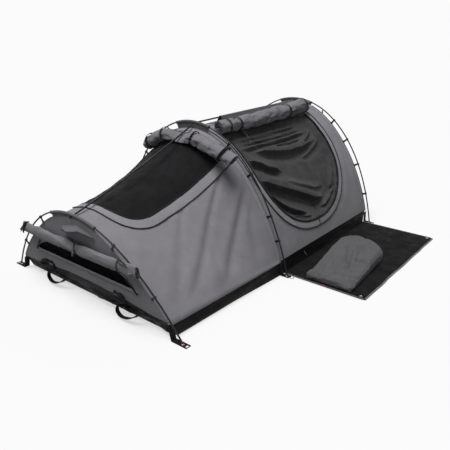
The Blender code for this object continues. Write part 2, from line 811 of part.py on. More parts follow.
def make_foot_ridge():
    low, high = foot_ridge_ends()
    run = high - low
    direction = run.normalized()
    outside = RIDGE_OVERHANG / run.length
    pin = RIDGE_PIN_LENGTH / run.length
    rings = []
    for share in [-outside] + even_shares(ROLL_STEPS, 0, 1 - pin):
        sag = RIDGE_SAG if share > 0 else 0
        centre = ridge_point(low, high, share, sag)
        slope = ridge_point(low, high, share + pin, sag) - ridge_point(low, high, share - pin, sag)
        upward = slope.normalized().cross(Vector((1, 0, 0)))
        rings.append(circle_ring(centre, Vector((1, 0, 0)), upward, RIDGE_RADIUS, POLE_SIDES))
    sweep("foot_ridge_pole", rings, "pole")
    cap_start = low - direction * (RIDGE_OVERHANG + TOUCH)
    cap = RIDGE_CAP_LENGTH
    wide = RIDGE_CAP_RADIUS
    profile = ((0, wide * 3 / 4), (cap / 4, wide), (cap * 3 / 4, wide), (cap, wide / 2))
    turned("foot_ridge_cap", cap_start, -direction, profile, POLE_SIDES, "plastic")
    tip_start = ridge_point(low, high, 1 - pin, RIDGE_SAG)
    toward = (high - tip_start).normalized()
    pin_length = (high - tip_start).length
    tip = RIDGE_PIN_RADIUS
    tip_profile = ((2 * TOUCH, RIDGE_RADIUS), (RIDGE_PIN_LENGTH / 3, RIDGE_RADIUS), (RIDGE_PIN_LENGTH / 3, tip),
                   (pin_length - tip, tip), (pin_length - tip / 2, tip / 2))
    turned("foot_ridge_tip", tip_start, toward, tip_profile, POLE_SIDES, "tip")


def make_head_ridge():
    low = ridge_anchor(MID, HEAD_RIDGE_MID_DROP)
    high = ridge_anchor(HEAD, RIDGE_FOOT_DROP)
    low.y += fin_offset() + TOUCH
    high.y -= fin_offset() + TOUCH
    axis = (high - low).normalized()
    length = (high - low).length
    pin = RIDGE_PIN_LENGTH
    neck = RIDGE_PIN_RADIUS
    profile = ((0, neck / 2), (neck / 2, neck), (pin, neck), (pin, RIDGE_RADIUS),
               (length - pin, RIDGE_RADIUS), (length - pin, neck), (length - neck / 2, neck), (length, neck / 2))
    turned("head_ridge_pole", low, axis, profile, POLE_SIDES, "pole")


# Sleeves

def sleeve_ring(centre, down, length, bore, depth):
    """Section of a sleeve: cloth over the pole with both layers sewn down to the canvas."""
    slit = SLEEVE_SLIT / 2
    outer = bore + SLEEVE_WALL
    leg = slit + SLEEVE_LEG
    start = math.asin(leg / outer)
    inner_start = math.asin(slit / bore)
    count = POLE_SIDES + 1
    loop = [centre + down * depth + length * leg]
    for step in range(count):
        angle = blend(start, 2 * math.pi - start, step / (count - 1))
        loop.append(centre + down * (outer * math.cos(angle)) + length * (outer * math.sin(angle)))
    loop.append(centre + down * depth - length * leg)
    loop.append(centre + down * depth - length * slit)
    for step in range(count):
        angle = blend(2 * math.pi - inner_start, inner_start, step / (count - 1))
        loop.append(centre + down * (bore * math.cos(angle)) + length * (bore * math.sin(angle)))
    loop.append(centre + down * depth + length * slit)
    return loop


def sleeve_bore(radius):
    return (radius + TOUCH) / math.cos(math.pi / POLE_SIDES)


def make_hoop_sleeve(name, hoop, low_step, high_step):
    rings = []
    for step in range(low_step, high_step + 1):
        share = station(hoop, step / ACROSS)
        _, inward, length = hoop_frame(hoop, share)
        depth = canvas_gap(hoop, share) - TOUCH
        rings.append(sleeve_ring(hoop_point(hoop, share), inward, length, sleeve_bore(HOOP_RADIUS), depth))
    return sweep(name, rings, "canvas")


def make_sleeves():
    foot_sleeve = make_hoop_sleeve("foot_hoop_sleeve", FOOT, FOOT_SLEEVE_STEPS[0], FOOT_SLEEVE_STEPS[1])
    low, high = foot_ridge_ends()
    direction = (high - low).normalized()
    notch_half = RIDGE_RADIUS + TOUCH
    across = Vector((1, 0, 0))
    up = across.cross(direction).normalized()
    start = low - direction * OVERRUN
    outline = [start + across * notch_half + up * notch_half, start - across * notch_half + up * notch_half,
               start - across * notch_half - up * OVERRUN, start + across * notch_half - up * OVERRUN]
    notch = prism("ridge_notch", outline, direction * (2 * OVERRUN), "canvas")
    combine(foot_sleeve, notch, "DIFFERENCE")
    make_hoop_sleeve("mid_hoop_sleeve", MID, MID_SLEEVE_STEPS[0], MID_SLEEVE_STEPS[1])
    make_hoop_sleeve("head_hoop_sleeve", HEAD, HEAD_SLEEVE_STEPS[0], HEAD_SLEEVE_STEPS[1])


def section_apex(along, place):
    return facet_point(MID, HEAD, along, place, 0, HEAD_SAG, HEAD_LENGTH_STEPS)


def make_ridge_sleeve():
    """The peaked sleeve over the head ridge pole, sewn to the roof along both its edges."""
    low = ridge_anchor(MID, HEAD_RIDGE_MID_DROP)
    high = ridge_anchor(HEAD, RIDGE_FOOT_DROP)
    across = Vector((1, 0, 0))
    up = Vector((0, 0, 1))
    rings = []
    for along in reversed(RIDGE_SLEEVE_SHARES):
        bore = sleeve_bore(RIDGE_RADIUS) + RIDGE_SLEEVE_SLACK * math.sin(math.pi * along)
        outer = bore + RIDGE_SLEEVE_WALL
        foot = section_apex(along, 1 / 2 + 1 / ACROSS)
        slope = (foot - section_apex(along, 1 / 2)).normalized()
        centre = low.lerp(high, (foot.y - low.y) / (high.y - low.y))
        base = foot.z + TOUCH + TOUCH
        reach = foot.x
        inner_reach = reach - RIDGE_SLEEVE_WALL
        inner_base = base - slope.z * RIDGE_SLEEVE_WALL
        loop = [Vector((reach, foot.y, base))]
        arc = POLE_SIDES // 2 + 1
        for step in range(arc):
            angle = math.pi * step / (arc - 1)
            loop.append(centre + across * (outer * math.cos(angle)) + up * (outer * math.sin(angle)))
        loop.append(Vector((-reach, foot.y, base)))
        loop.append(Vector((-inner_reach, foot.y, inner_base)))
        for step in range(arc):
            angle = math.pi * (1 - step / (arc - 1))
            loop.append(centre + across * (bore * math.cos(angle)) + up * (bore * math.sin(angle)))
        loop.append(Vector((inner_reach, foot.y, inner_base)))
        for point in loop[1:-1]:
            point.y = foot.y
        rings.append(loop)
    sweep("head_ridge_sleeve", rings, "canvas")


# Hook tapes

def tape_ring(hoop, share):
    """Section of the flat tape that stands on the canvas towards the pole."""
    _, inward, length = hoop_frame(hoop, share)
    centre = hoop_point(hoop, share)
    base = canvas_gap(hoop, share) - TOUCH
    half = TAPE_THICKNESS / 2
    return [centre + inward * base + length * half, centre + inward * (base - TAPE_WIDTH) + length * half,
            centre + inward * (base - TAPE_WIDTH) - length * half, centre + inward * base - length * half]


def hook_outline(depth):
    """Side view of a hook: an open claw over the pole and a shank to the tape."""
    bore = sleeve_bore(HOOP_RADIUS)
    outer = bore + HOOK_WALL
    half = HOOK_SHANK / 2
    shank_angle = math.asin(half / outer)
    mouth = math.pi / 3
    points = [(depth, half), (outer * math.cos(shank_angle), half)]
    arc = POLE_SIDES - 1
    for step in range(1, arc + 1):
        angle = blend(shank_angle, 2 * math.pi - mouth, step / arc)
        points.append((outer * math.cos(angle), outer * math.sin(angle)))
    for step in range(arc + 1):
        angle = blend(2 * math.pi - mouth, 0, step / arc)
        points.append((bore * math.cos(angle), bore * math.sin(angle)))
    points.append((bore, -half))
    points.append((depth, -half))
    return points


def add_hook(points, faces, hoop, step, side):
    """One hook over the straight run of pole between two steps."""
    low = hoop_point(hoop, station(hoop, step / ACROSS))
    high = hoop_point(hoop, station(hoop, (step + 1) / ACROSS))
    share = station(hoop, (step + 1 / 2) / ACROSS)
    centre = (low + high) / 2
    tangent = (high - low).normalized()
    _, _, length = hoop_frame(hoop, share)
    inward = length.cross(tangent).normalized()
    canvas_centre = (arch_point(hoop, step / ACROSS, 0) + arch_point(hoop, (step + 1) / ACROSS, 0)) / 2
    depth = (canvas_centre - centre).dot(inward) - TOUCH - TAPE_WIDTH * 3 / 4
    outline = hook_outline(depth)
    start = len(points)
    for shift in (-HOOK_LENGTH / 2, HOOK_LENGTH / 2):
        for down, along in outline:
            point = centre + tangent * shift + inward * down + length * along
            if side > 0:
                point.x = -point.x
            points.append(point)
    for face in sweep_faces(2, len(outline)):
        faces.append(tuple(start + index for index in face))


def make_hook_tape(name, hoop, top_step, hook_steps, side):
    places = [step / ACROSS for step in range(top_step + 1)]
    rings = [tape_ring(hoop, station(hoop, place)) for place in places]
    top_slope = (rings[-1][0] - rings[-2][0]).normalized()
    rings[-1] = [point - top_slope * TIE_GAP for point in rings[-1]]
    for ring in rings:
        for point in ring:
            point.x = point.x if side < 0 else -point.x
    tape = sweep(name, rings, "webbing")
    points = []
    faces = []
    for step in hook_steps:
        add_hook(points, faces, hoop, step, side)
    hooks = add_mesh(name + "_hooks", points, faces, "plastic")
    combine(tape, hooks, "UNION")


# Rolled covers

def roll_solid(name, centres, frames, finish):
    """A rolled cover with a hollow at each end, through centres with their half sizes."""
    rings = []
    count = len(centres)
    for index, (centre, frame) in enumerate(zip(centres, frames)):
        side_a, side_b, half_a, half_b = frame
        rings.append(circle_ring(centre, side_a, side_b, half_a, ROLL_SIDES, half_b))
        if index in (0, count - 1):
            deeper = centres[1] if index == 0 else centres[-2]
            inward = (deeper - centre).normalized() * ROLL_HOLLOW_DEPTH
            share = ROLL_HOLLOW_SHARE
            mouth = circle_ring(centre, side_a, side_b, half_a * share, ROLL_SIDES, half_b * share)
            floor = circle_ring(centre + inward, side_a, side_b, half_a * share, ROLL_SIDES, half_b * share)
            if index == 0:
                rings = [floor, mouth] + rings
            else:
                rings += [mouth, floor]
    return sweep(name, rings, finish)


def tie_waist(share, ties, width):
    """How strongly a roll is drawn in by its ties at a share of its length."""
    return max(0, max(1 - abs(share - tie) / width for tie in ties))


def make_door_roll(name, side):
    """The rolled door cover, resting on the roof along one column of the canvas."""
    centres = []
    frames = []
    place = DOOR_ROLL_COLUMN / ACROSS
    for share in even_shares(ROLL_STEPS):
        along = blend(DOOR_ROLL_LOW_SHARE, DOOR_ROLL_HIGH_SHARE, share)
        pinch = DOOR_ROLL_TIE_DEPTH * tie_waist(share, DOOR_TIE_SHARES, 1 / ROLL_STEPS)
        point = facet_point(MID, HEAD, along, place, 0, HEAD_SAG, HEAD_LENGTH_STEPS)
        inward = section_inward(MID, HEAD, along, place)
        inward.y = 0
        inward.normalize()
        sideways = Vector((-inward.z, 0, inward.x))
        point = point - inward * (DOOR_ROLL_THICKNESS + TOUCH + TOUCH)
        for vector in (point, inward, sideways):
            vector.x *= side
        centres.append(point)
        frames.append((sideways, inward, DOOR_ROLL_RADIUS - pinch, DOOR_ROLL_THICKNESS - pinch))
    roll_solid(name, centres, frames, "canvas")


def make_door_cover(name, side):
    """A door's cover zipped shut over its opening."""
    places = side_places(side)
    alongs = even_shares(HEAD_LENGTH_STEPS)
    outer = section_grid(MID, HEAD, HEAD_SAG, alongs, places, -TOUCH - CANVAS)
    inner = section_grid(MID, HEAD, HEAD_SAG, alongs, places, -TOUCH)
    cover = grid_solid(name, outer, inner, "canvas")
    combine(cover, door_cutter(name + "_cutter", COVER_BAND, side), "INTERSECT")


def make_roof_roll():
    """The rolled roof cover: it lies across the roof, and its stiff ends stand off at the sides."""
    centres = []
    frames = []
    along = ROOF_ROLL_ROW / FOOT_LENGTH_STEPS
    for step in range(-ROOF_ROLL_FAR_STEPS, ROOF_ROLL_NEAR_STEPS + 1):
        place = 1 / 2 + step / ACROSS
        press = ease(abs(step) / ROOF_ROLL_PRESS)
        thick = blend(ROOF_ROLL_MID_THICKNESS, ROOF_ROLL_END_THICKNESS, press)
        lift = ROOF_ROLL_END_LIFT * ease((step - ROOF_ROLL_PRESS) / (ROOF_ROLL_NEAR_STEPS - ROOF_ROLL_PRESS))
        pinch = DOOR_ROLL_TIE_DEPTH * tie_waist(abs(step) / ROOF_ROLL_NEAR_STEPS, ROOF_TIE_SHARES,
                                                1 / ROOF_ROLL_NEAR_STEPS)
        surface = section_point(FOOT, MID, along, place, 0, FOOT_SAG)
        ahead = section_point(FOOT, MID, along + 1 / FOOT_LENGTH_STEPS, place, 0, FOOT_SAG)
        behind = section_point(FOOT, MID, along - 1 / FOOT_LENGTH_STEPS, place, 0, FOOT_SAG)
        run = (ahead - behind).normalized()
        inward = section_inward(FOOT, MID, along, place)
        inward = (inward - run * inward.dot(run)).normalized()
        centres.append(surface - inward * (thick + lift + TOUCH + TOUCH))
        frames.append((run, inward, ROOF_ROLL_HALF_WIDTH - pinch, thick - pinch * press))
    roll_solid("roof_cover_roll", centres, frames, "canvas")


def make_foot_bar():
    """The foot window's cover, folded to a flat bar and strapped across the low hoop."""
    centres = []
    frames = []
    steps = ROLL_STEPS
    for share in even_shares(steps):
        x = blend(BAR_LOW_X, BAR_HIGH_X, share)
        z = BAR_Z - BAR_DROOP * 4 * share * (1 - share)
        lean = FOOT_HOOP_LEAN / FOOT_HOOP_HEIGHT
        bulge = math.hypot(BAR_DEPTH / 2, lean * BAR_HEIGHT / 2)
        front = plane_y(FOOT, BAR_Z) - HOOP_RADIUS - TOUCH
        pinch = BAR_TIE_DEPTH * tie_waist(share, BAR_TIE_SHARES, 1 / steps)
        centres.append(Vector((x, front - bulge, z)))
        frames.append((Vector((0, 0, 1)), Vector((0, 1, 0)), BAR_HEIGHT / 2 - pinch, BAR_DEPTH / 2 - pinch))
    roll_solid("foot_cover_bar", centres, frames, "canvas")


def make_vent_hood():
    """The peaked hood over the vent in the foot end wall."""
    outer = []
    inner = []
    columns = even_shares(POLE_SIDES)
    rows = even_shares(CORNER_STEPS)
    for row in rows:
        outer_row = []
        inner_row = []
        for column in columns:
            x = blend(HOOD_LEFT_X, HOOD_RIGHT_X, column)
            share = find_share(lambda share: hoop_point(FOOT, share).x - x, 0, 1)
            top = hoop_point(FOOT, share)
            _, inward, _ = hoop_frame(FOOT, share)
            top = top + inward * (canvas_gap(FOOT, share) + HOOD_TOP_DROP)
            top.y = plane_y(FOOT, top.z) - TOUCH
            lip_z = blend(HOOD_LIP_LEFT_Z, HOOD_LIP_RIGHT_Z, column)
            reach = HOOD_REACH * math.sin(math.pi * blend(1 / 8, 1, column))
            lip = Vector((top.x, plane_y(FOOT, lip_z) - TOUCH - reach, min(lip_z, top.z - HOOD_WALL)))
            point = top.lerp(lip, row)
            outer_row.append(point - Vector((0, HOOD_WALL, 0)))
            inner_row.append(point)
        outer.append(outer_row)
        inner.append(inner_row)
    grid_solid("vent_hood", outer, inner, "canvas")


# Tabs, rings, buckles and carry loops

def tab_profile(y, foot_x, reach):
    """Side view of a tab: flat on the ground under the pole, then up the tub's wall."""
    outer_x = foot_x + reach
    lift = TUB_WALL / 4
    wall_low = tub_side_x(y, 0) + TOUCH
    wall_high = tub_side_x(y, TAB_RISE) + TOUCH
    return [(outer_x, lift), (wall_low, lift), (wall_high, TAB_RISE),
            (wall_high + TAB_THICKNESS, TAB_RISE), (wall_low + TAB_THICKNESS, lift + TAB_THICKNESS),
            (outer_x, lift + TAB_THICKNESS)]


def make_tab(name, hoop, side, with_eye):
    foot_x = HOOP_SPAN / 2
    low_y = hoop.y - TAB_WIDTH / 2
    inner_y = min(hoop.y + TAB_WIDTH / 2, TUB_HEAD_Y)
    reach = TAB_REACH / 2 if with_eye else TAB_REACH
    outline = [Vector((side * x, low_y, z)) for x, z in tab_profile(inner_y, foot_x, reach)]
    tab = prism(name, outline, (0, TAB_WIDTH, 0), "webbing")
    pole_x = foot_x - POLE_END_HEIGHT / 4
    hole = turned(name + "_hole", Vector((side * pole_x, hoop.y, -OVERRUN)), Vector((0, 0, 1)),
                  ((0, TAB_HOLE_RADIUS), (2 * OVERRUN, TAB_HOLE_RADIUS)), POLE_SIDES + CORNER_STEPS, "webbing")
    combine(tab, hole, "DIFFERENCE")
    if with_eye:
        eye = eye_centre()
        outer = RING_WIRE_RADIUS + TOUCH + EYE_WALL
        tube = turned(name + "_eye", Vector((side * eye.x, hoop.y - RING_BAR_HALF + outer, eye.z)), Vector((0, 1, 0)),
                      ((0, outer), (2 * (RING_BAR_HALF - outer), outer)), POLE_SIDES + CORNER_STEPS, "webbing")
        bore = turned(name + "_bore", Vector((side * eye.x, hoop.y - OVERRUN, eye.z)), Vector((0, 1, 0)),
                      ((0, outer - EYE_WALL), (2 * OVERRUN, outer - EYE_WALL)), POLE_SIDES + CORNER_STEPS,
                      "webbing")
        combine(tab, tube, "UNION")
        combine(tab, bore, "DIFFERENCE")
        return
    low_x = foot_x + reach - TAB_MARGIN - PEG_HOLE_LENGTH
    window = box(name + "_window", sorted_low(side, low_x, hoop.y - PEG_HOLE_WIDTH / 2, -OVERRUN, PEG_HOLE_LENGTH),
                 sorted_high(side, low_x, hoop.y + PEG_HOLE_WIDTH / 2, OVERRUN, PEG_HOLE_LENGTH), "webbing")
    combine(tab, window, "DIFFERENCE")


def sorted_low(side, low_x, y, z, length):
    return (min(side * low_x, side * (low_x + length)), y, z)


def sorted_high(side, low_x, y, z, length):
    return (max(side * low_x, side * (low_x + length)), y, z)


def eye_centre():
    """Axis of the ring's straight bar, in the rolled end of its tab."""
    outer = RING_WIRE_RADIUS + TOUCH + EYE_WALL
    return Vector((HOOP_SPAN / 2 + TAB_REACH / 2 + outer / 2, MID.y, outer + TUB_WALL / 4))


def make_ring(name, side):
    """A metal D ring with its straight bar in the tab's eye, lying on the ground."""
    eye = eye_centre()
    bar = RING_BAR_HALF
    wire = RING_WIRE_RADIUS
    drop = eye.z - wire - TUB_WALL / 4
    path = [(0, -bar + wire), (0, bar - wire)]
    for step in range(CORNER_STEPS * 2 + 1):
        angle = blend(math.pi / 2, -math.pi / 2, step / (CORNER_STEPS * 2))
        path.append((blend(wire, RING_REACH, 1 / 2) + (RING_REACH / 2) * math.cos(angle), bar * math.sin(angle)))
    rings = []
    count = len(path)
    for index, (out, y) in enumerate(path):
        before = Vector(path[index - 1])
        after = Vector(path[(index + 1) % count])
        run = (after - before).normalized()
        centre = Vector((side * (eye.x + out), MID.y + y, eye.z - drop * min(1, out / RING_REACH)))
        sideways = Vector((side * run.y, -run.x, 0)).normalized()
        rings.append(circle_ring(centre, sideways, Vector((0, 0, 1)), wire, POLE_SIDES))
    points = [point for ring in rings for point in ring]
    faces = []
    for row in range(count):
        following = (row + 1) % count
        for corner in range(POLE_SIDES):
            after = (corner + 1) % POLE_SIDES
            faces.append((row * POLE_SIDES + corner, row * POLE_SIDES + after,
                          following * POLE_SIDES + after, following * POLE_SIDES + corner))
    add_mesh(name, points, faces, "steel")


def buckle_plane():
    return plane_y(FOOT, BUCKLE_Z + BUCKLE_WIDTH / 2) - TOUCH - BUCKLE_THICKNESS


def make_buckle(label, centre_x):
    """A side release buckle: a hollow socket and a plug with two springy prongs."""
    half = BUCKLE_WIDTH / 2
    back = buckle_plane() + BUCKLE_THICKNESS
    front = buckle_plane()
    wall = BUCKLE_WALL
    low_z = BUCKLE_Z - half
    high_z = BUCKLE_Z + half
    socket_low = centre_x - SOCKET_LENGTH
    socket = box(label + "_buckle_socket", (socket_low, front, low_z), (centre_x, back, high_z), "plastic")
    pocket = box(label + "_pocket", (socket_low + SOCKET_LENGTH / 4, front + wall, low_z + wall),
                 (centre_x + OVERRUN, back - wall, high_z - wall), "plastic")
    combine(socket, pocket, "DIFFERENCE")
    slot = box(label + "_slot", (socket_low + wall, front - OVERRUN, low_z + wall),
               (socket_low + wall + BUCKLE_SLOT, back + OVERRUN, high_z - wall), "plastic")
    combine(socket, slot, "DIFFERENCE")
    for edge, inward in ((low_z, 1), (high_z, -1)):
        side_window = box(label + "_side_window", (centre_x - SOCKET_LENGTH / 2, front + wall, edge - wall),
                          (centre_x - wall, back - wall, edge + wall + wall / 2), "plastic")
        side_window.location.z = -wall / 4 if inward > 0 else wall / 4 - wall / 2
        combine(socket, side_window, "DIFFERENCE")
    plug_low = centre_x + TOUCH
    base = [Vector((plug_low, front, low_z)), Vector((plug_low + PLUG_BASE_LENGTH, front, low_z + wall)),
            Vector((plug_low + PLUG_BASE_LENGTH, front, high_z - wall)), Vector((plug_low, front, high_z))]
    plug = prism(label + "_buckle_plug", base, (0, BUCKLE_THICKNESS, 0), "plastic")
    reach = PRONG_LENGTH
    clear = wall + RUNNING
    for index, z in enumerate((low_z + clear, BUCKLE_Z - PRONG_WIDTH / 2, high_z - clear - PRONG_WIDTH)):
        length = reach if index != 1 else reach * 3 / 4
        prong = box(label + "_prong", (plug_low - length, front + clear, z),
                    (plug_low + wall, back - clear, z + PRONG_WIDTH), "plastic")
        combine(plug, prong, "UNION")
    strap_slot = box(label + "_plug_slot", (plug_low + PLUG_BASE_LENGTH - wall - BUCKLE_SLOT, front - OVERRUN,
                                            low_z + wall + wall),
                     (plug_low + PLUG_BASE_LENGTH - wall, back + OVERRUN, high_z - wall - wall), "plastic")
    combine(plug, strap_slot, "DIFFERENCE")


def make_carry_loop(name, centre_x):
    """A webbing loop sewn to the tub's end wall and hanging to just over the ground."""
    path = []
    steps = 2 * CORNER_STEPS + CORNER_STEPS
    for step in range(steps + 1):
        angle = math.pi * step / steps
        x = centre_x - LOOP_HALF_WIDTH * math.copysign(abs(math.cos(angle)) ** (2 / 3), math.cos(angle))
        z = LOOP_TOP_Z - (LOOP_TOP_Z - LOOP_LOW_Z) * math.sin(angle) ** (2 / 3)
        path.append((x, z))
    rings = []
    for index, (x, z) in enumerate(path):
        before = Vector(path[max(0, index - 1)])
        after = Vector(path[min(len(path) - 1, index + 1)])
        run = (after - before).normalized()
        normal = Vector((-run.y, 0, run.x)) * (LOOP_STRAP_THICKNESS / 2)
        centre = Vector((x, 0, z))
        ring = []
        for sign, out in ((1, 0), (1, 1), (-1, 1), (-1, 0)):
            point = centre + normal * sign
            point.y = tub_foot_y(point.z) - TOUCH - TOUCH - out * LOOP_STRAP_WIDTH
            ring.append(point)
        rings.append(ring)
    sweep(name, rings, "webbing")


# Mat, bag and zips

def mat_axis():
    """The mat's fold line, along the foot of the tub's side."""
    nose = MAT_THICKNESS / 2
    return Vector((TUB_SIDE_HALF_WIDTH + RUNNING + nose, 0, TOUCH + MAT_BINDING_WALL + TOUCH + nose))


def make_mat():
    """The mat, with a round nose on its fold line and a bound outer edge."""
    axis = mat_axis()
    nose = MAT_THICKNESS / 2
    base = axis.z - nose
    outer_x = MAT_OUTER_X - MAT_BINDING_WALL - TOUCH
    section = [(outer_x, axis.z - nose), (outer_x, axis.z + nose)]
    for step in range(CORNER_STEPS + 1):
        angle = math.pi * (1 / 2 + step / CORNER_STEPS)
        section.append((axis.x + nose * math.cos(angle), axis.z + nose * math.sin(angle)))
    outline = [Vector((x, MAT_LOW_Y, z)) for x, z in section]
    mat = prism("entry_mat", outline, (0, MAT_HIGH_Y - MAT_LOW_Y, 0), "pvc")
    for index, y in enumerate((MAT_LOW_Y + EYELET_INSET, MAT_HIGH_Y - EYELET_INSET)):
        x = MAT_OUTER_X - MAT_BINDING_WIDTH - EYELET_INSET
        hole = turned("mat_eyelet_%d" % index, Vector((x, y, -OVERRUN)), Vector((0, 0, 1)),
                      ((0, EYELET_RADIUS), (2 * OVERRUN, EYELET_RADIUS)), 2 * POLE_SIDES, "pvc")
        combine(mat, hole, "DIFFERENCE")
    low = TOUCH
    wall = MAT_BINDING_WALL
    top = base + MAT_THICKNESS + TOUCH + wall
    inner = MAT_OUTER_X - MAT_BINDING_WIDTH
    profile = [(inner, low), (MAT_OUTER_X, low), (MAT_OUTER_X, top), (inner, top), (inner, top - wall),
               (MAT_OUTER_X - wall, top - wall), (MAT_OUTER_X - wall, low + wall), (inner, low + wall)]
    length = MAT_HIGH_Y - MAT_LOW_Y - 2 * EYELET_RADIUS
    outline = [Vector((x, MAT_LOW_Y + EYELET_RADIUS, z)) for x, z in profile]
    prism("mat_binding", outline, (0, length, 0), "binding")


def make_bag():
    base = TOUCH + MAT_BINDING_WALL + TOUCH + MAT_THICKNESS + TOUCH
    bounds = (BAG_LOW_X, BAG_HIGH_X, BAG_LOW_Y, BAG_HIGH_Y)
    rings = cushion_rings(bounds, base, BAG_HEIGHT, BAG_CROWN, BAG_EDGE, BAG_NEAR_CORNER, BAG_FAR_CORNER)
    sweep("gear_bag", rings, "canvas")


def slider_frame(side):
    """Where a door's zip slider sits: on the canvas under the middle of the door."""
    z = DOOR_SHOULDER_Z - DOOR_DEPTH - SLIDER_BELOW_DOOR

    def spot(y, height):
        along = find_share(lambda share: section_point(MID, HEAD, share, 1, 0, HEAD_SAG).y - y, 0, 1)
        place = find_share(lambda share: height - section_point(MID, HEAD, along, share, 0, HEAD_SAG).z, 1 / 2, 1)
        return section_point(MID, HEAD, along, place, 0, HEAD_SAG)

    point = spot(DOOR_CENTRE_Y, z)
    length = (spot(DOOR_CENTRE_Y + OVERRUN, z) - point).normalized()
    down = spot(DOOR_CENTRE_Y, z - OVERRUN) - point
    down = (down - length * down.dot(length)).normalized()
    outward = length.cross(down).normalized()
    if outward.x < 0:
        outward = -outward
    for vector in (point, length, down, outward):
        vector.x *= side
    return point, length, down, outward


def flat_piece(name, centre, axes, outline, thickness, finish):
    """An outline in the plane of two of the axes, given thickness about its middle along the third."""
    start = centre - axes[2] * (thickness / 2)
    points = [start + axes[0] * across + axes[1] * down for across, down in outline]
    return prism(name, points, axes[2] * thickness, finish)


def make_zip(label, side, lift):
    """A zip slider with two ears, and the pull whose barrel turns between them."""
    point, length, down, outward = slider_frame(side)
    axes = (length, down, outward)
    seat = point + outward * (lift + RUNNING + SLIDER_HEIGHT / 2)
    half = SLIDER_LENGTH / 2
    body = SLIDER_WIDTH / 2
    gap = half - SLIDER_EAR_WIDTH
    ear = body + SLIDER_EAR_LENGTH
    slider_outline = [(-half, -body), (half, -body), (half, ear), (gap, ear), (gap, body), (-gap, body),
                      (-gap, ear), (-half, ear)]
    flat_piece(label + "_zip_slider", seat, axes, slider_outline, SLIDER_HEIGHT, "steel")
    reach = gap - TOUCH
    barrel_drop = body + TOUCH + BARREL_RADIUS
    barrel_start = seat + down * barrel_drop - length * reach
    pull_half = reach * 3 / 4
    pull_outline = [(-pull_half, barrel_drop), (pull_half, barrel_drop), (pull_half, barrel_drop + PULL_LENGTH),
                    (-pull_half, barrel_drop + PULL_LENGTH)]
    pull = flat_piece(label + "_zip_pull", seat, axes, pull_outline, PULL_THICKNESS, "webbing")
    barrel = turned(label + "_zip_barrel", barrel_start, length, ((0, BARREL_RADIUS), (2 * reach, BARREL_RADIUS)),
                    POLE_SIDES, "webbing")
    combine(pull, barrel, "UNION")


# Columns of the arches between which the sleeves and hooks lie
FOOT_SLEEVE_STEPS = (13, 23)
MID_SLEEVE_STEPS = (15, 21)
HEAD_SLEEVE_STEPS = (15, 21)
FOOT_HOOK_STEPS = (2, 5, 9)
MID_HOOK_STEPS = (1, 3, 7, 11)
HEAD_HOOK_STEPS = (1, 4, 7, 10)

# Shares of the rolls' lengths at which they are tied
DOOR_TIE_SHARES = (0.125, 0.75)
ROOF_TIE_SHARES = (0.333, 0.778)
BAR_TIE_SHARES = (0.5, 0.8125)

# Shares of the head section's length along which the ridge sleeve runs
RIDGE_SLEEVE_SHARES = (0.22, 0.3, 0.4, 0.5, 0.6, 0.7, 0.8, 0.9, 0.96)


def make_frame():
    for label, hoop in (("foot", FOOT), ("mid", MID), ("head", HEAD)):
        make_hoop_pole(label + "_hoop_pole", hoop)
        for side_label, side in (("near", 1), ("far", -1)):
            make_hoop_tip(label + "_" + side_label + "_pole_tip", hoop, side)
            make_tab(label + "_" + side_label + "_webbing_tab", hoop, side, hoop is MID)
    make_foot_ridge()
    make_head_ridge()
    make_ring("near_peg_ring", 1)
    make_ring("far_peg_ring", -1)


def make_shell():
    make_tub()
    make_mattress()
    make_foot_section()
    make_head_section()
    make_end_walls()
    make_roof_mesh()
    make_sleeves()
    make_ridge_sleeve()
    for side_label, side in (("near", 1), ("far", -1)):
        make_door_mesh(side_label + "_door_mesh", side)
        make_hook_tape("foot_" + side_label + "_hook_tape", FOOT, FOOT_SLEEVE_STEPS[0], FOOT_HOOK_STEPS, side)
        make_hook_tape("mid_" + side_label + "_hook_tape", MID, MID_SLEEVE_STEPS[0], MID_HOOK_STEPS, side)
        make_hook_tape("head_" + side_label + "_hook_tape", HEAD, HEAD_SLEEVE_STEPS[0], HEAD_HOOK_STEPS, side)
    make_door_roll("near_door_roll", 1)
    make_door_cover("far_door_cover", -1)
    make_zip("near", 1, 0)
    make_zip("far", -1, TOUCH + CANVAS)
    make_roof_roll()
    make_foot_bar()
    make_vent_hood()


def make_trim():
    make_buckle("left", BUCKLE_LEFT_X)
    make_buckle("right", BUCKLE_RIGHT_X)
    make_carry_loop("left_carry_loop", BUCKLE_LEFT_X + LOOP_CENTRE_OFFSET)
    make_carry_loop("right_carry_loop", BUCKLE_RIGHT_X + LOOP_CENTRE_OFFSET)
    make_mat()
    make_bag()


clear_scene()
make_frame()
make_shell()
make_trim()
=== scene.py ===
"""Looks of the double dome swag: canvas, mesh, rolls, webbing, poles, mat and bag."""
import math

import bmesh
import bpy
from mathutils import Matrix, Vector, noise


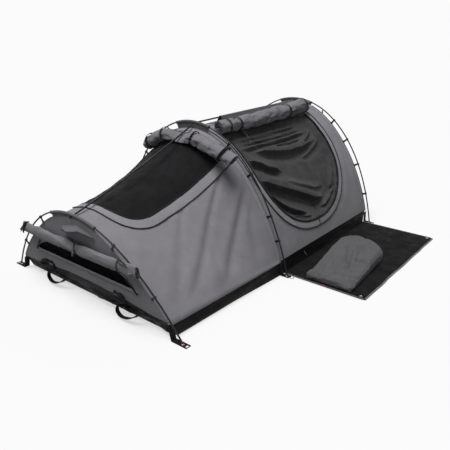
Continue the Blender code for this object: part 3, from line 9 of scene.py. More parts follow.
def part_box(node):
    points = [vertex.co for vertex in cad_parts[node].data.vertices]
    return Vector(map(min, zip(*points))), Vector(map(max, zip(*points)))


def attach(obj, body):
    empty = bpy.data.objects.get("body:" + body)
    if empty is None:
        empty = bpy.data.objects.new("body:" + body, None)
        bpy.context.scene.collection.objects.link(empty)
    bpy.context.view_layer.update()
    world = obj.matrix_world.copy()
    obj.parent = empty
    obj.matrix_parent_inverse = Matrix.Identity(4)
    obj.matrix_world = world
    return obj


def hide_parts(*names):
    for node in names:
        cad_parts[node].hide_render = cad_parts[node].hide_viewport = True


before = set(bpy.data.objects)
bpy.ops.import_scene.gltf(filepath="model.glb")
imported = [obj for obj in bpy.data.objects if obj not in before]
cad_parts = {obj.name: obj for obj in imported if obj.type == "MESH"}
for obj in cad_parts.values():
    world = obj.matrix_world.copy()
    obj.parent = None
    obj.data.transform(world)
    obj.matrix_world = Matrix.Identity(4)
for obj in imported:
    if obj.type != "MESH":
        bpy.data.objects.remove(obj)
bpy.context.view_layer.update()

# Sizes as in the CAD, in metres
HOOP_SPAN = 1.4646
HOOP_RADIUS = 0.00475
APEX_SHARE = 0.75
POLE_END_HEIGHT = 0.016
TOUCH = 0.0003
CANVAS = 0.003
SAG_START = 0.55
SIDE_GAP = 0.042
SEAM_GAP = 0.026
FOOT_SAG = 0.060
HEAD_SAG = 0.020
ACROSS = 36
TUB_HEIGHT = 0.095
TUB_FOOT_Y = -1.035
TUB_HEAD_Y = 1.053
TUB_FOOT_HALF_WIDTH = 0.665
TUB_SIDE_HALF_WIDTH = 0.690
WINDOW_MID_Y = -0.268
WINDOW_SHOULDER_Y = -0.720
WINDOW_MID_HALF_WIDTH = 0.285
WINDOW_HALF_WIDTH = 0.255
DOOR_Y = 0.400
DOOR_HALF_WIDTH = 0.490
DOOR_TOP = 0.815
DOOR_SHOULDER = 0.720
DOOR_DROP = 0.500
DOOR_POWER = 2.3
COVER_BAND = 0.045

# Thickness of the cloths as they are seen
CANVAS_SHOWN = 0.0024
WALL_SHOWN = 0.0016
BAND_SHOWN = 0.0019
COVER_SHOWN = 0.0022
NETTING_SHOWN = 0.0012
DOOR_NETTING_SHOWN = 0.0011
ROLL_CLOTH = 0.0016
STRAP_WIDTH = 0.025

UP = Vector((0, 0, 1))
TO_FOOT = Vector((0, -1, 0))
TO_HEAD = Vector((0, 1, 0))


class Hoop:
    """A bent pole: its place, lean, height and shoulders, and the gap to the canvas at its top."""

    def __init__(self, y, lean, height, shoulder, apex_gap):
        self.y = y
        self.lean = lean
        self.height = height
        self.shoulder = shoulder
        self.apex_gap = apex_gap
        self.arch = {}
        self.low = None


FOOT = Hoop(-1.075, -0.0675, 0.536, 0.5925, 0.0206)
MID = Hoop(-0.131, -0.0476, 0.893, 0.363, 0.045)
HEAD = Hoop(1.075, 0.0017, 0.909, 0.296, 0.0206)
HOOPS = (("foot", FOOT), ("mid", MID), ("head", HEAD))
SIDES = (("near", 1), ("far", -1))


# Shape functions, as in the CAD

def ease(share):
    held = min(max(share, 0), 1)
    return held * held * (3 - 2 * held)


def mix(low, high, share):
    return low + (high - low) * share


def steps(count, low=0, high=1):
    return [mix(low, high, step / count) for step in range(count + 1)]


def hoop_point(hoop, share):
    half = HOOP_SPAN / 2
    rest = 1 - share
    w = (rest ** 3, 3 * share * rest ** 2, 3 * share ** 2 * rest, share ** 3)
    rise = hoop.height / APEX_SHARE * (w[1] + w[2])
    across = half * (w[3] - w[0]) + half * (1 - hoop.shoulder) * (w[2] - w[1])
    return Vector((across, hoop.y + hoop.lean * rise / hoop.height, rise))


def hoop_frame(hoop, share):
    """A hoop's tangent, its inward normal and its length direction."""
    step = 1 / (ACROSS * ACROSS)
    tangent = (hoop_point(hoop, share + step) - hoop_point(hoop, share - step)).normalized()
    length = Vector((0, 1, -hoop.lean / hoop.height)).normalized()
    return tangent, length.cross(tangent).normalized(), length


def find_share(test, low, high):
    for _ in range(40):
        middle = (low + high) / 2
        low, high = (middle, high) if test(middle) < 0 else (low, middle)
    return (low + high) / 2


def canvas_gap(hoop, share):
    side = abs(2 * share - 1)
    if side < SAG_START:
        return mix(hoop.apex_gap, SIDE_GAP, ease(side / SAG_START))
    return mix(SIDE_GAP, SEAM_GAP, ease((side - SAG_START) / (1 - SAG_START)))


def under_hoop(hoop, share, drop=0):
    return hoop_point(hoop, share) + hoop_frame(hoop, share)[1] * (canvas_gap(hoop, share) + drop)


def seam_share(hoop, height):
    return find_share(lambda share: under_hoop(hoop, share).z - height, 0, 0.25)


def station(hoop, place):
    if hoop.low is None:
        hoop.low = seam_share(hoop, TUB_HEIGHT + TOUCH)
    return mix(hoop.low, 1 - hoop.low, place)


def arch(hoop, place):
    """The canvas arch under a hoop, and its inward normal."""
    key = round(place, 9)
    if key not in hoop.arch:
        share = station(hoop, place)
        hoop.arch[key] = (under_hoop(hoop, share), hoop_frame(hoop, share)[1])
    return hoop.arch[key]


def plane_y(hoop, height):
    return hoop.y + hoop.lean * height / hoop.height


class Section:
    """A canvas section between two hoops, with its sag and the relief of its cloth."""

    def __init__(self, low, high, sag, relief):
        self.low = low
        self.high = high
        self.sag = sag
        self.relief = relief

    def inward(self, along, place):
        return arch(self.low, place)[1].lerp(arch(self.high, place)[1], along).normalized()

    def plain(self, along, place, lift=0):
        point = arch(self.low, place)[0].lerp(arch(self.high, place)[0], along)
        hold = 1 - max(0, (abs(2 * place - 1) - SAG_START) / (1 - SAG_START)) ** 2
        return point + self.inward(along, place) * (self.sag * 4 * along * (1 - along) * hold - lift)

    def at(self, along, place, lift=0):
        return self.plain(along, place, lift - self.relief(along, place))

    def find(self, first, second, axes, start):
        """Where the section's surface has two given coordinates."""
        along, place = start
        i, j = axes
        step = 1e-3
        for _ in range(14):
            here = self.plain(along, place)
            miss_a, miss_b = first - here[i], second - here[j]
            if max(abs(miss_a), abs(miss_b)) < 1e-5:
                break
            slope_a = (self.plain(along + step, place) - here) / step
            slope_b = (self.plain(along, place + step) - here) / step
            whole = slope_a[i] * slope_b[j] - slope_a[j] * slope_b[i]
            if abs(whole) < 1e-9:
                break
            along = min(max(along + (miss_a * slope_b[j] - miss_b * slope_b[i]) / whole, -0.1), 1.1)
            place = min(max(place + (slope_a[i] * miss_b - slope_a[j] * miss_a) / whole, -0.02), 1.02)
        return along, place


def fractal(x, y, z=0.0, octaves=3):
    return noise.fractal(Vector((x, y, z)), 1.0, 2.0, octaves)


def hold_edges(along, place, margin_a=0.10, margin_p=0.05):
    return ease(min(along, 1 - along) / margin_a) * ease(min(place, 1 - place) / margin_p)


def crease(value, centre, width):
    """A soft valley with a rounded floor."""
    return math.exp(-((value - centre) / width) ** 2)


# Folds of the side panels: place and along at the top and at the foot, width and depth
FOOT_FOLDS = ((0.735, 0.88, 0.950, 0.33, 0.030, 0.0085), (0.790, 1.00, 0.985, 0.55, 0.034, 0.0100),
              (0.860, 0.93, 0.985, 0.80, 0.022, 0.0050), (0.720, 0.60, 0.960, 0.16, 0.030, 0.0045),
              (0.900, 0.55, 0.985, 0.44, 0.016, 0.0030), (0.270, 0.80, 0.060, 0.35, 0.040, 0.0060),
              (0.200, 0.95, 0.030, 0.70, 0.030, 0.0060))
HEAD_FOLDS = ((0.930, 0.120, 0.985, 0.150, 0.014, 0.0050), (0.930, 0.200, 0.990, 0.240, 0.012, 0.0035),
              (0.900, 0.050, 0.985, 0.075, 0.016, 0.0050), (0.800, 0.950, 0.960, 0.900, 0.020, 0.0040))


def folds(table, along, place):
    total = 0
    for top, top_along, low, low_along, width, depth in table:
        share = (place - top) / (low - top)
        if -0.25 < share < 1.25:
            centre = mix(top_along, low_along, share) + 0.012 * math.sin(share * 5 + top * 40)
            depth *= ease((share + 0.25) / 0.4) * ease((1.25 - share) / 0.35)
            fold = width * mix(0.7, 1.5, share)
            total += 1.05 * depth * crease(along, centre, fold)
            total -= 0.6 * depth * crease(along, centre - 2.1 * fold, 1.5 * fold)
    return total


def foot_relief(along, place):
    side = 2 * place - 1
    wander = 0.0070 * fractal(along * 5.5 + 3.1, side * 2.2, 0.4)
    wander += 0.0036 * fractal(along * 15 - side * 5, side * 5)
    return hold_edges(along, place) * (folds(FOOT_FOLDS, along, place) + wander)


def head_relief(along, place):
    side = 2 * place - 1
    wander = 0.0055 * fractal(along * 5.0 + 9.3, side * 2.6, 1.7)
    wander += 0.0034 * fractal(along * 14 + side * 4, side * 6, 5)
    return hold_edges(along, place) * (folds(HEAD_FOLDS, along, place) + wander)


foot_section = Section(FOOT, MID, FOOT_SAG, foot_relief)
head_section = Section(MID, HEAD, HEAD_SAG, head_relief)


def on_roof(x, y, lift=0):
    along, place = foot_section.find(x, y, (0, 1), ((y + 1.13) / 0.96, 0.5 + x / 1.8))
    return foot_section.at(along, place, lift)


def on_side(y, z, lift=0, side=1):
    """A point of the head section's near or far side with a given y and z."""
    guess = 0.5 + side * (0.5 - 0.42 * ease((z - 0.1) / 0.85))
    along, place = head_section.find(y, z, (1, 2), ((y + 0.15) / 1.22, guess))
    return head_section.at(along, place, lift)


def on_far_side(y, z, lift=0):
    return on_side(y, z, lift, -1)


def on_foot_end(x, z, lift=0):
    return Vector((x, plane_y(FOOT, z) - lift, z))


def trace(surface, outline, lift):
    return [surface(first, second, lift) for first, second in outline]


# Outlines of the openings

def half_round(count, power):
    """Half a squared-off circle, as shares across and outward."""
    points = []
    for angle in steps(count, 0, math.pi):
        across = math.copysign(abs(math.cos(angle)) ** (2 / power), math.cos(angle))
        points.append((across, abs(math.sin(angle)) ** (2 / power)))
    return points


def roof_window(margin):
    side = []
    for y in steps(14, WINDOW_MID_Y + margin, WINDOW_SHOULDER_Y)[:-1]:
        share = (WINDOW_MID_Y - y) / (WINDOW_MID_Y - WINDOW_SHOULDER_Y)
        side.append((mix(WINDOW_MID_HALF_WIDTH, WINDOW_HALF_WIDTH, share) + margin, y))
    reach = WINDOW_HALF_WIDTH + margin
    end = [(reach * across, WINDOW_SHOULDER_Y - reach * out) for across, out in half_round(72, 3.0)]
    return side + end + [(-x, y) for x, y in reversed(side)]


def door(margin):
    half = DOOR_HALF_WIDTH + margin
    heights = steps(6, DOOR_TOP + min(margin, 0.02), DOOR_SHOULDER)[:-1]
    low = [(DOOR_Y + half * across, DOOR_SHOULDER - (DOOR_DROP + margin) * out)
           for across, out in half_round(96, DOOR_POWER)]
    return [(DOOR_Y + half, z) for z in heights] + low + [(DOOR_Y - half, z) for z in reversed(heights)]


def foot_window(margin):
    return [((0.435 + margin) * across, 0.205 - margin + (0.125 + 2 * margin) * rise)
            for across, rise in half_round(60, 1.8)]


def inside(outline, x, y):
    """Whether a plan point lies inside a closed outline."""
    within = False
    for index, (ax, ay) in enumerate(outline):
        bx, by = outline[index - 1]
        if (ay > y) != (by > y) and x < (bx - ax) * (y - ay) / (by - ay) + ax:
            within = not within
    return within


# Mesh building

class Part:
    """Points, faces and cloth coordinates that make one piece."""

    def __init__(self, *others):
        self.points = []
        self.faces = []
        self.cloth = []
        for other in others:
            self.add(other.points, other.faces, other.cloth)

    def add(self, points, faces, cloth):
        start = len(self.points)
        self.points += points
        self.faces += [tuple(start + index for index in face) for face in faces]
        self.cloth += cloth
        return self


def spacing(points):
    total = [0]
    for before, after in zip(points, points[1:]):
        total.append(total[-1] + (after - before).length)
    return total


def cloth_grid(rows, outward, thickness, hole=None):
    """A sheet through rows of points, thickened away from the outward side."""
    height = len(rows)
    width = len(rows[0])
    run_u = spacing([row[width // 2] for row in rows])
    run_v = spacing(rows[height // 2])
    points = [point for row in rows for point in row]
    cloth = [(u, v) for u in run_u for v in run_v]
    normals = []
    for r in range(height):
        for c in range(width):
            down = rows[min(r + 1, height - 1)][c] - rows[max(r - 1, 0)][c]
            side = rows[r][min(c + 1, width - 1)] - rows[r][max(c - 1, 0)]
            normals.append(down.cross(side).normalized())
    middle = (height // 2) * width + width // 2
    hint = outward(points[middle]) if callable(outward) else outward
    flip = normals[middle].dot(hint) < 0
    if flip:
        normals = [-normal for normal in normals]
    faces = []
    for r in range(height - 1):
        for c in range(width - 1):
            if not (hole and hole(r, c)):
                a = r * width + c
                quad = (a, a + width, a + width + 1, a + 1)
                faces.append(quad[::-1] if flip else quad)
    count = len(points)
    used = {(here, face[(index + 1) % 4]) for face in faces for index, here in enumerate(face)}
    back = [point - normal * thickness for point, normal in zip(points, normals)]
    every = faces + [tuple(index + count for index in reversed(face)) for face in faces]
    every += [(b, a, a + count, b + count) for a, b in used if (b, a) not in used]
    return Part().add(points + back, sorted(every), cloth + cloth)


def runs(path, closed=False):
    """The path's direction at each of its points."""
    last = len(path) - 1
    if closed:
        return [path[(index + 1) % len(path)] - path[index - 1] for index in range(len(path))]
    return [path[min(index + 1, last)] - path[max(index - 1, 0)] for index in range(len(path))]


def ring_sweep(rings, closed=False, run=None, girth=None):
    """Faces through equal rings of points, with end caps on an open run."""
    count = len(rings)
    sides = len(rings[0])
    run = run or spacing([ring[0] for ring in rings])
    girth = girth or spacing(list(rings[0]) + [rings[0][0]])
    faces = []
    for r in range(count if closed else count - 1):
        after = (r + 1) % count
        for c in range(sides):
            beside = (c + 1) % sides
            faces.append((r * sides + c, r * sides + beside, after * sides + beside, after * sides + c))
    if not closed:
        faces.append(tuple(reversed(range(sides))))
        faces.append(tuple((count - 1) * sides + c for c in range(sides)))
    cloth = [(run[r], girth[c]) for r in range(count) for c in range(sides)]
    return Part().add([point for ring in rings for point in ring], faces, cloth)


def circle(centre, first, second, radius, sides):
    return [centre + first * (radius * math.cos(2 * math.pi * step / sides))
            + second * (radius * math.sin(2 * math.pi * step / sides)) for step in range(sides)]


def tube(path, radius, sides=8, closed=False, start=None):
    tangents = [run.normalized() for run in runs(path, closed)]
    side = start or tangents[0].orthogonal()
    rings = []
    for point, tangent in zip(path, tangents):
        side = (side - tangent * side.dot(tangent)).normalized()
        rings.append(circle(point, side, tangent.cross(side), radius, sides))
    return ring_sweep(rings, closed)


def ribbon(path, normals, width, thickness, closed=False):
    """A flat band along a path on a surface, with softened edges."""
    if isinstance(normals, Vector):
        normals = [normals] * len(path)
    half = width / 2
    soft = min(thickness * 0.6, half / 2)
    section = ((-half, 0), (-half, thickness * 0.65), (soft - half, thickness), (half - soft, thickness),
               (half, thickness * 0.65), (half, 0))
    rings = []
    for point, run, out in zip(path, runs(path, closed), normals):
        across = out.cross(run).normalized()
        out = run.cross(across).normalized()
        rings.append([point + across * a + out * b for a, b in section])
    return ring_sweep(rings, closed, girth=[0, 0, 0, width, width, width])


def turned(start, axis, profile, sides=16):
    """A turned shape: pairs of distance along the axis and radius."""
    side = axis.orthogonal().normalized()
    up = axis.cross(side)
    rings = [circle(start + axis * distance, side, up, radius, sides) for distance, radius in profile]
    return ring_sweep(rings, run=[distance for distance, _ in profile])


def slab(outline, direction, chamfer):
    """A flat outline given thickness, with a small chamfer round both faces."""
    middle = sum(outline, Vector()) / len(outline)
    small = 1 - chamfer / max((point - middle).length for point in outline)
    inset = direction.normalized() * min(chamfer, direction.length / 3)
    drawn = [middle + (point - middle) * small for point in outline]
    return ring_sweep([drawn, [point + inset for point in outline],
                       [point + direction - inset for point in outline], [point + direction for point in drawn]])


def smooth_path(corners, count):
    """A smooth curve through corner points."""
    corners = [Vector(corner) for corner in corners]
    path = []
    for place in steps(count, 0, len(corners) - 1):
        low = min(int(place), len(corners) - 2)
        share = place - low
        before, first = corners[max(low - 1, 0)], corners[low]
        second, after = corners[low + 1], corners[min(low + 2, len(corners) - 1)]
        path.append(0.5 * (2 * first + (second - before) * share
                           + (2 * before - 5 * first + 4 * second - after) * share ** 2
                           + (3 * first - before - 3 * second + after) * share ** 3))
    return path


def link(name, data):
    item = bpy.data.objects.new(name, data)
    bpy.context.scene.collection.objects.link(item)
    return item


def lay_cloth(mesh, place):
    """The cloth coordinates of each vertex, by a function of its index."""
    layer = mesh.uv_layers.new(name="cloth")
    for loop in mesh.loops:
        layer.data[loop.index].uv = place(loop.vertex_index)


def smooth_mesh(mesh, angle):
    mesh.shade_smooth()
    mesh.set_sharp_from_angle(angle=math.radians(angle))


def claim(item, body, node):
    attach(item, body)
    if node:
        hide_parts(node)
    return item


def piece(name, part, material, node=None, body="shelter", angle=35):
    mesh = bpy.data.meshes.new(name)
    mesh.from_pydata([tuple(point) for point in part.points], [], part.faces)
    lay_cloth(mesh, lambda index: part.cloth[index])
    work = bmesh.new()
    work.from_mesh(mesh)
    bmesh.ops.recalc_face_normals(work, faces=work.faces)
    work.to_mesh(mesh)
    work.free()
    smooth_mesh(mesh, angle)
    mesh.materials.append(material)
    return claim(link(name, mesh), body, node)


def sheet(name, rows, outward, thickness, material, node, hole=None, body="shelter"):
    """A sheet of cloth."""
    item = piece(name, cloth_grid(rows, outward, thickness, hole), material, node, body)
    for r in range(len(rows) - 1):
        for c in range(len(rows[0]) - 1):
            not (hole and hole(r, c))


# Materials

class Paint:
    """A node material: colour, roughness and relief built up in layers."""

    def __init__(self, name, colour, roughness, metallic=0.0, sheen=0.0, specular=0.5):
        self.material = bpy.data.materials.new(name)
        self.material.use_nodes = True
        self.tree = self.material.node_tree
        self.shader = self.tree.nodes["Principled BSDF"]
        for key, value in (("Metallic", metallic), ("Specular IOR Level", specular), ("Sheen Weight", sheen)):
            self.shader.inputs[key].default_value = value
        self.colour = self.solid(colour)
        self.roughness = roughness
        self.normal = None
        coords = self.node("TexCoord")
        self.place = coords.outputs["Object"]
        self.cloth = coords.outputs["UV"]

    def wire(self, source, target):
        if isinstance(source, bpy.types.NodeSocket):
            self.tree.links.new(source, target)
        else:
            target.default_value = source

    def node(self, kind, **inputs):
        node = self.tree.nodes.new("ShaderNode" + kind)
        for key, value in inputs.items():
            self.wire(value, node.inputs[key.replace("_", " ")])
        return node

    def solid(self, colour):
        node = self.node("RGB")
        node.outputs[0].default_value = (*colour, 1)
        return node.outputs[0]

    def maths(self, operation, first, second=0.0):
        node = self.node("Math")
        node.operation = operation
        self.wire(first, node.inputs[0])
        self.wire(second, node.inputs[1])
        return node.outputs[0]

    def clouds(self, scale, detail, stretch=(1, 1, 1)):
        mapping = self.node("Mapping", Vector=self.place, Scale=stretch)
        cloud = self.node("TexNoise", Vector=mapping.outputs[0], Scale=scale, Detail=detail, Roughness=0.55)
        return cloud.outputs["Fac"]

    def span(self, value, low, high, to_low=0.0, to_high=1.0):
        return self.node("MapRange", Value=value, From_Min=low, From_Max=high, To_Min=to_low, To_Max=to_high).outputs[0]

    def tint(self, factor, colour, amount):
        node = self.node("Mix")
        node.data_type = "RGBA"
        self.wire(self.maths("MULTIPLY", factor, amount), node.inputs[0])
        self.wire(self.colour, node.inputs[6])
        self.wire(self.solid(colour), node.inputs[7])
        self.colour = node.outputs[2]

    def mottle(self, scale, detail, low, high, colour, amount, stretch=(1, 1, 1)):
        """Another colour where a cloud is dense."""
        self.tint(self.span(self.clouds(scale, detail, stretch), low, high), colour, amount)

    def relief(self, height, distance, strength=1.0):
        node = self.node("Bump", Strength=strength, Distance=distance, Height=height)
        if self.normal:
            self.wire(self.normal, node.inputs["Normal"])
        self.normal = node.outputs["Normal"]

    def axis(self, index):
        return self.node("SeparateXYZ", Vector=self.cloth).outputs[index]

    def ribs(self, pitch, index):
        return self.maths("SINE", self.maths("MULTIPLY", self.axis(index), 2 * math.pi / pitch))

    def weave(self, pitch):
        """Over and under threads in the cloth's own directions."""
        return self.maths("MULTIPLY", self.ribs(pitch, 0), self.ribs(pitch, 1))

    def stitches(self, rows, colour, pitch=0.0045, depth=0.0006):
        """Rows of stitches at distances across the cloth."""
        across = self.axis(1)
        along = self.maths("FRACT", self.maths("MULTIPLY", self.axis(0), 1 / pitch))
        total = 0.0
        for row in rows:
            away = self.maths("ABSOLUTE", self.maths("SUBTRACT", across, row))
            total = self.maths("MAXIMUM", total, self.maths("LESS_THAN", away, 0.0007))
        mask = self.maths("MULTIPLY", total, self.maths("LESS_THAN", along, 0.68))
        self.relief(mask, depth)
        self.tint(mask, colour, 0.8)

    def done(self, roughness_low, roughness_high, scale=14):
        """Worn to a range of roughness, and wired up."""
        rough = self.span(self.clouds(scale, 4), 0.3, 0.7, roughness_low, roughness_high)
        self.wire(self.colour, self.shader.inputs["Base Color"])
        self.wire(rough, self.shader.inputs["Roughness"])
        self.wire(self.normal, self.shader.inputs["Normal"])
        return self.material


def times(colour, factor, plus=0.0):
    return tuple(min(1, value * factor + plus) for value in colour)


def canvas_paint(name, colour, rows=(), dust=0.10):
    paint = Paint(name, colour, 0.86, sheen=0.06, specular=0.16)
    deep = times(colour, 0.82)
    paint.mottle(5.0, 5, 0.35, 0.62, deep, 0.55, (1, 1, 1.4))
    paint.mottle(31.0, 4, 0.50, 0.75, times(colour, 1.10), 0.5)
    paint.mottle(900.0, 2, 0.45, 0.70, deep, 0.35)
    paint.mottle(2.3, 3, 0.55, 0.80, (0.36, 0.34, 0.32), dust, (1, 1, 2))
    paint.relief(paint.clouds(26.0, 5, (1, 1, 0.6)), 0.0022, 0.5)
    paint.relief(paint.clouds(420.0, 2), 0.0004, 0.35)
    paint.relief(paint.weave(0.0016), 0.00018, 0.5)
    if rows:
        paint.stitches(rows, (0.13, 0.13, 0.135))
    return paint.done(0.78, 0.93)


def webbing_paint(name, colour, rows=()):
    paint = Paint(name, colour, 0.7, sheen=0.03, specular=0.10)
    paint.mottle(60.0, 3, 0.4, 0.7, times(colour, 1.9), 0.6)
    paint.relief(paint.ribs(0.0022, 0), 0.0005)
    paint.relief(paint.ribs(0.0055, 1), 0.0003)
    if rows:
        paint.stitches(rows, (0.05, 0.05, 0.05))
    return paint.done(0.6, 0.82, 40)


def mesh_paint(name, colour, gloss, shine):
    paint = Paint(name, colour, gloss, sheen=0.02, specular=shine)
    paint.mottle(7.0, 4, 0.4, 0.7, times(colour, 1.7), 0.6, (1, 1, 0.7))
    holes = paint.weave(0.0018)
    paint.tint(paint.span(holes, 0.3, 0.9), (0.004, 0.004, 0.004), 0.5)
    paint.relief(holes, 0.0001, 0.4)
    paint.relief(paint.clouds(38.0, 4, (1, 1, 0.5)), 0.0015, 0.5)
    return paint.done(gloss * 0.85, gloss * 1.2, 22)


def pvc_paint(name, colour, gloss=0.5):
    paint = Paint(name, colour, gloss, specular=0.07)
    paint.mottle(8.0, 5, 0.45, 0.75, times(colour, 1.9), 0.5)
    paint.mottle(90.0, 4, 0.62, 0.72, times(colour, 4), 0.2, (1, 1, 3))
    paint.relief(paint.clouds(20.0, 4, (1, 1, 2)), 0.004, 0.5)
    paint.relief(paint.weave(0.0030), 0.00025, 0.7)
    return paint.done(gloss * 0.8, gloss * 1.3)


def hard_paint(name, colour, gloss, metallic=0.0, scratch=0.15, grain=300.0):
    paint = Paint(name, colour, gloss, metallic=metallic, specular=0.30)
    paint.mottle(grain / 6, 4, 0.55, 0.75, times(colour, 1.8, 0.02), scratch)
    paint.relief(paint.clouds(grain, 2), 0.0002, 0.6)
    return paint.done(gloss * 0.8, min(1, gloss * 1.35), 60)


GREY = (0.284, 0.276, 0.297)
canvas = canvas_paint("canvas", GREY)
canvas_band = canvas_paint("canvas_band", times(GREY, 1.10), rows=(0.004, 0.009, 0.036, 0.041))
# Rolled covers and the foot bar: the canvas darkened to 0.84, painted shade for the folds of the roll
canvas_roll_painted_shade = canvas_paint("canvas_roll_painted_shade", times(GREY, 0.84))
canvas_sleeve = canvas_paint("canvas_sleeve", times(GREY, 0.55), rows=(0.005,))
canvas_bag = canvas_paint("canvas_bag", times(GREY, 0.385))
foam_cover = canvas_paint("foam_cover", (0.06, 0.06, 0.066), dust=0.02)
webbing = webbing_paint("webbing", (0.007, 0.007, 0.0075), rows=(0.003, 0.022))
webbing_grey = webbing_paint("webbing_grey", (0.055, 0.055, 0.058), rows=(0.003,))
zip_paint = webbing_paint("zip", (0.008, 0.008, 0.009))
binding = webbing_paint("binding", (0.20, 0.20, 0.205))
# Door netting: the black mesh lifted to dark grey, painted sheen that stands in for its satin shine
door_netting_painted_sheen = mesh_paint("door_netting_painted_sheen", (0.052, 0.052, 0.054), 0.55, 0.10)
roof_netting = mesh_paint("roof_netting", (0.011, 0.011, 0.012), 0.70, 0.05)
end_netting = mesh_paint("end_netting", (0.003, 0.003, 0.003), 0.8, 0.01)
pvc = pvc_paint("pvc", (0.010, 0.010, 0.0105))
mat_pvc = pvc_paint("mat_pvc", (0.0095, 0.0095, 0.0097), 0.85)
piping = hard_paint("piping", (0.008, 0.008, 0.009), 0.5)
pole_paint = hard_paint("pole", (0.020, 0.020, 0.022), 0.32, metallic=0.6, grain=500)
tip_paint = hard_paint("tip", (0.22, 0.010, 0.014), 0.42)
plastic = hard_paint("plastic", (0.010, 0.010, 0.011), 0.38)
steel = hard_paint("steel", (0.50, 0.50, 0.50), 0.28, metallic=1.0, scratch=0.3)


# Canvas sections and their openings

def out_from_axis(point):
    return Vector((point.x, 0, point.z - 0.25))


def opening(rows, outline, first, second):
    """A test for the grid cells that lie in an outline."""
    def hole(r, c):
        middle = (rows[r][c] + rows[r + 1][c + 1]) / 2
        return inside(outline, middle[first], middle[second])
    return hole


def foot_lap(along):
    """How far the foot section laps down over the tub."""
    return mix(0.024, 0.012, along ** 2)


def make_sections():
    alongs = steps(60)
    rows = [[foot_section.at(along, place, -TOUCH) for place in steps(120)] for along in alongs]
    for row, along in zip(rows, alongs):
        reach = foot_lap(along) + 0.002 * fractal(along * 9, 3)
        for side, seam, place in ((-1, row[0], 0), (1, row[-1], None)):
            for step in (0.3, 0.65, 1.0):
                height = TUB_HEIGHT - reach * step
                wave = abs(0.0016 * fractal(seam.y * 14, step, side))
                point = Vector((side * (tub_side_x(seam.y, height) + 0.0026 + wave), seam.y, height))
                row.insert(len(row) if place is None else place, point)
    rows[-1] = [point + TO_FOOT * 0.0004 for point in rows[-1]]
    sheet("foot_canvas", rows, out_from_axis, CANVAS_SHOWN, canvas, "foot_section_canvas",
          hole=opening(rows, roof_window(0.006), 0, 1))
    rows = [[head_section.at(along, place, -TOUCH) for place in steps(132)] for along in steps(72)]
    rows[0] = [point + TO_HEAD * 0.0004 for point in rows[0]]
    sheet("head_canvas", rows, out_from_axis, CANVAS_SHOWN, canvas, "head_section_canvas",
          hole=opening(rows, door(0.006), 1, 2))


def make_bands():
    """The sewn bands, trims and pipings round the roof window and the doors."""
    for name, outline, surface, near, far, lift in (
            ("roof_window", roof_window, on_roof, 0.0, COVER_BAND, 0.0020),
            ("near_door", door, on_side, 0.0, COVER_BAND, 0.0020),
            ("far_door", door, on_far_side, COVER_BAND - 0.002, COVER_BAND + 0.022, 0.0048)):
        rows = [trace(surface, outline(mix(near, far, share)), lift + 0.0007 * math.sin(math.pi * share))
                for share in steps(5)]
        piece(name + "_band", cloth_grid(rows, out_from_axis, BAND_SHOWN), canvas_band)
    trims = [tube(trace(on_roof, roof_window(margin), lift), radius, 6)
             for margin, lift, radius in ((0.001, 0.0022, 0.0018), (-0.006, 0.0015, 0.0012))]
    piece("roof_window_trim", Part(*trims), piping)
    piece("roof_window_piping", tube(trace(on_roof, roof_window(COVER_BAND + 0.002), 0.0042), 0.0034), piping)
    teeth = trace(on_side, door(0.0020), 0.0030)
    piece("near_door_zip", ribbon(teeth, [head_normal(point) for point in teeth], 0.0150, 0.0022), zip_paint)
    piece("near_door_piping", tube(trace(on_side, door(COVER_BAND + 0.001), 0.0042), 0.0036), piping)


def head_normal(point):
    """Outward normal of the head section's near side at a point of it."""
    ahead = on_side(point.y + 0.01, point.z) - on_side(point.y - 0.01, point.z)
    above = on_side(point.y, point.z + 0.01) - on_side(point.y, point.z - 0.01)
    out = ahead.cross(above).normalized()
    return out if out.x > 0 else -out


def make_hems():
    """The folded hems where the canvas ends under each hoop, and the stitched edge over the tub."""
    hems = []
    for section, along, sign in ((foot_section, 0, 1), (foot_section, 1, -1), (head_section, 0, 1), (head_section, 1, -1)):
        rows = [[section.at(along + sign * mix(0.0012, 0.026, share), place, 0.0018 + 0.0012 * math.sin(math.pi * share))
                 for place in steps(110)] for share in steps(4)]
        hems.append(cloth_grid(rows, out_from_axis, 0.0014))
    piece("arch_hems", Part(*hems), canvas_band)
    tapes = []
    for section, drop in ((foot_section, foot_lap), (head_section, lambda along: -0.0008)):
        for side in (-1, 1):
            path = []
            for along in steps(70, 0.004, 0.996):
                y = section.plain(along, 0.0).y
                height = TUB_HEIGHT - drop(along) - 0.001
                path.append(Vector((side * (tub_side_x(y, height) + 0.0024), y, height)))
            tapes.append(ribbon(path, Vector((side, 0, 0)), 0.005, 0.0014))
    piece("seam_tapes", Part(*tapes), webbing)


# End walls

def wall_rows(hoop, bulge):
    """Rows of an end wall from the floor seam up to its arch."""
    rows = []
    for share in steps(34):
        row = []
        for place in steps(96):
            rim, inward = arch(hoop, place)
            rim = rim + inward * (CANVAS + 2 * TOUCH)
            z = mix(TUB_HEIGHT + 0.0004, rim.z, share)
            wave = bulge * math.sin(math.pi * share) * fractal(rim.x * 3.1, z * 4.3, hoop.y)
            row.append(Vector((rim.x, plane_y(hoop, z) + wave, z)))
        rows.append(row)
    return rows


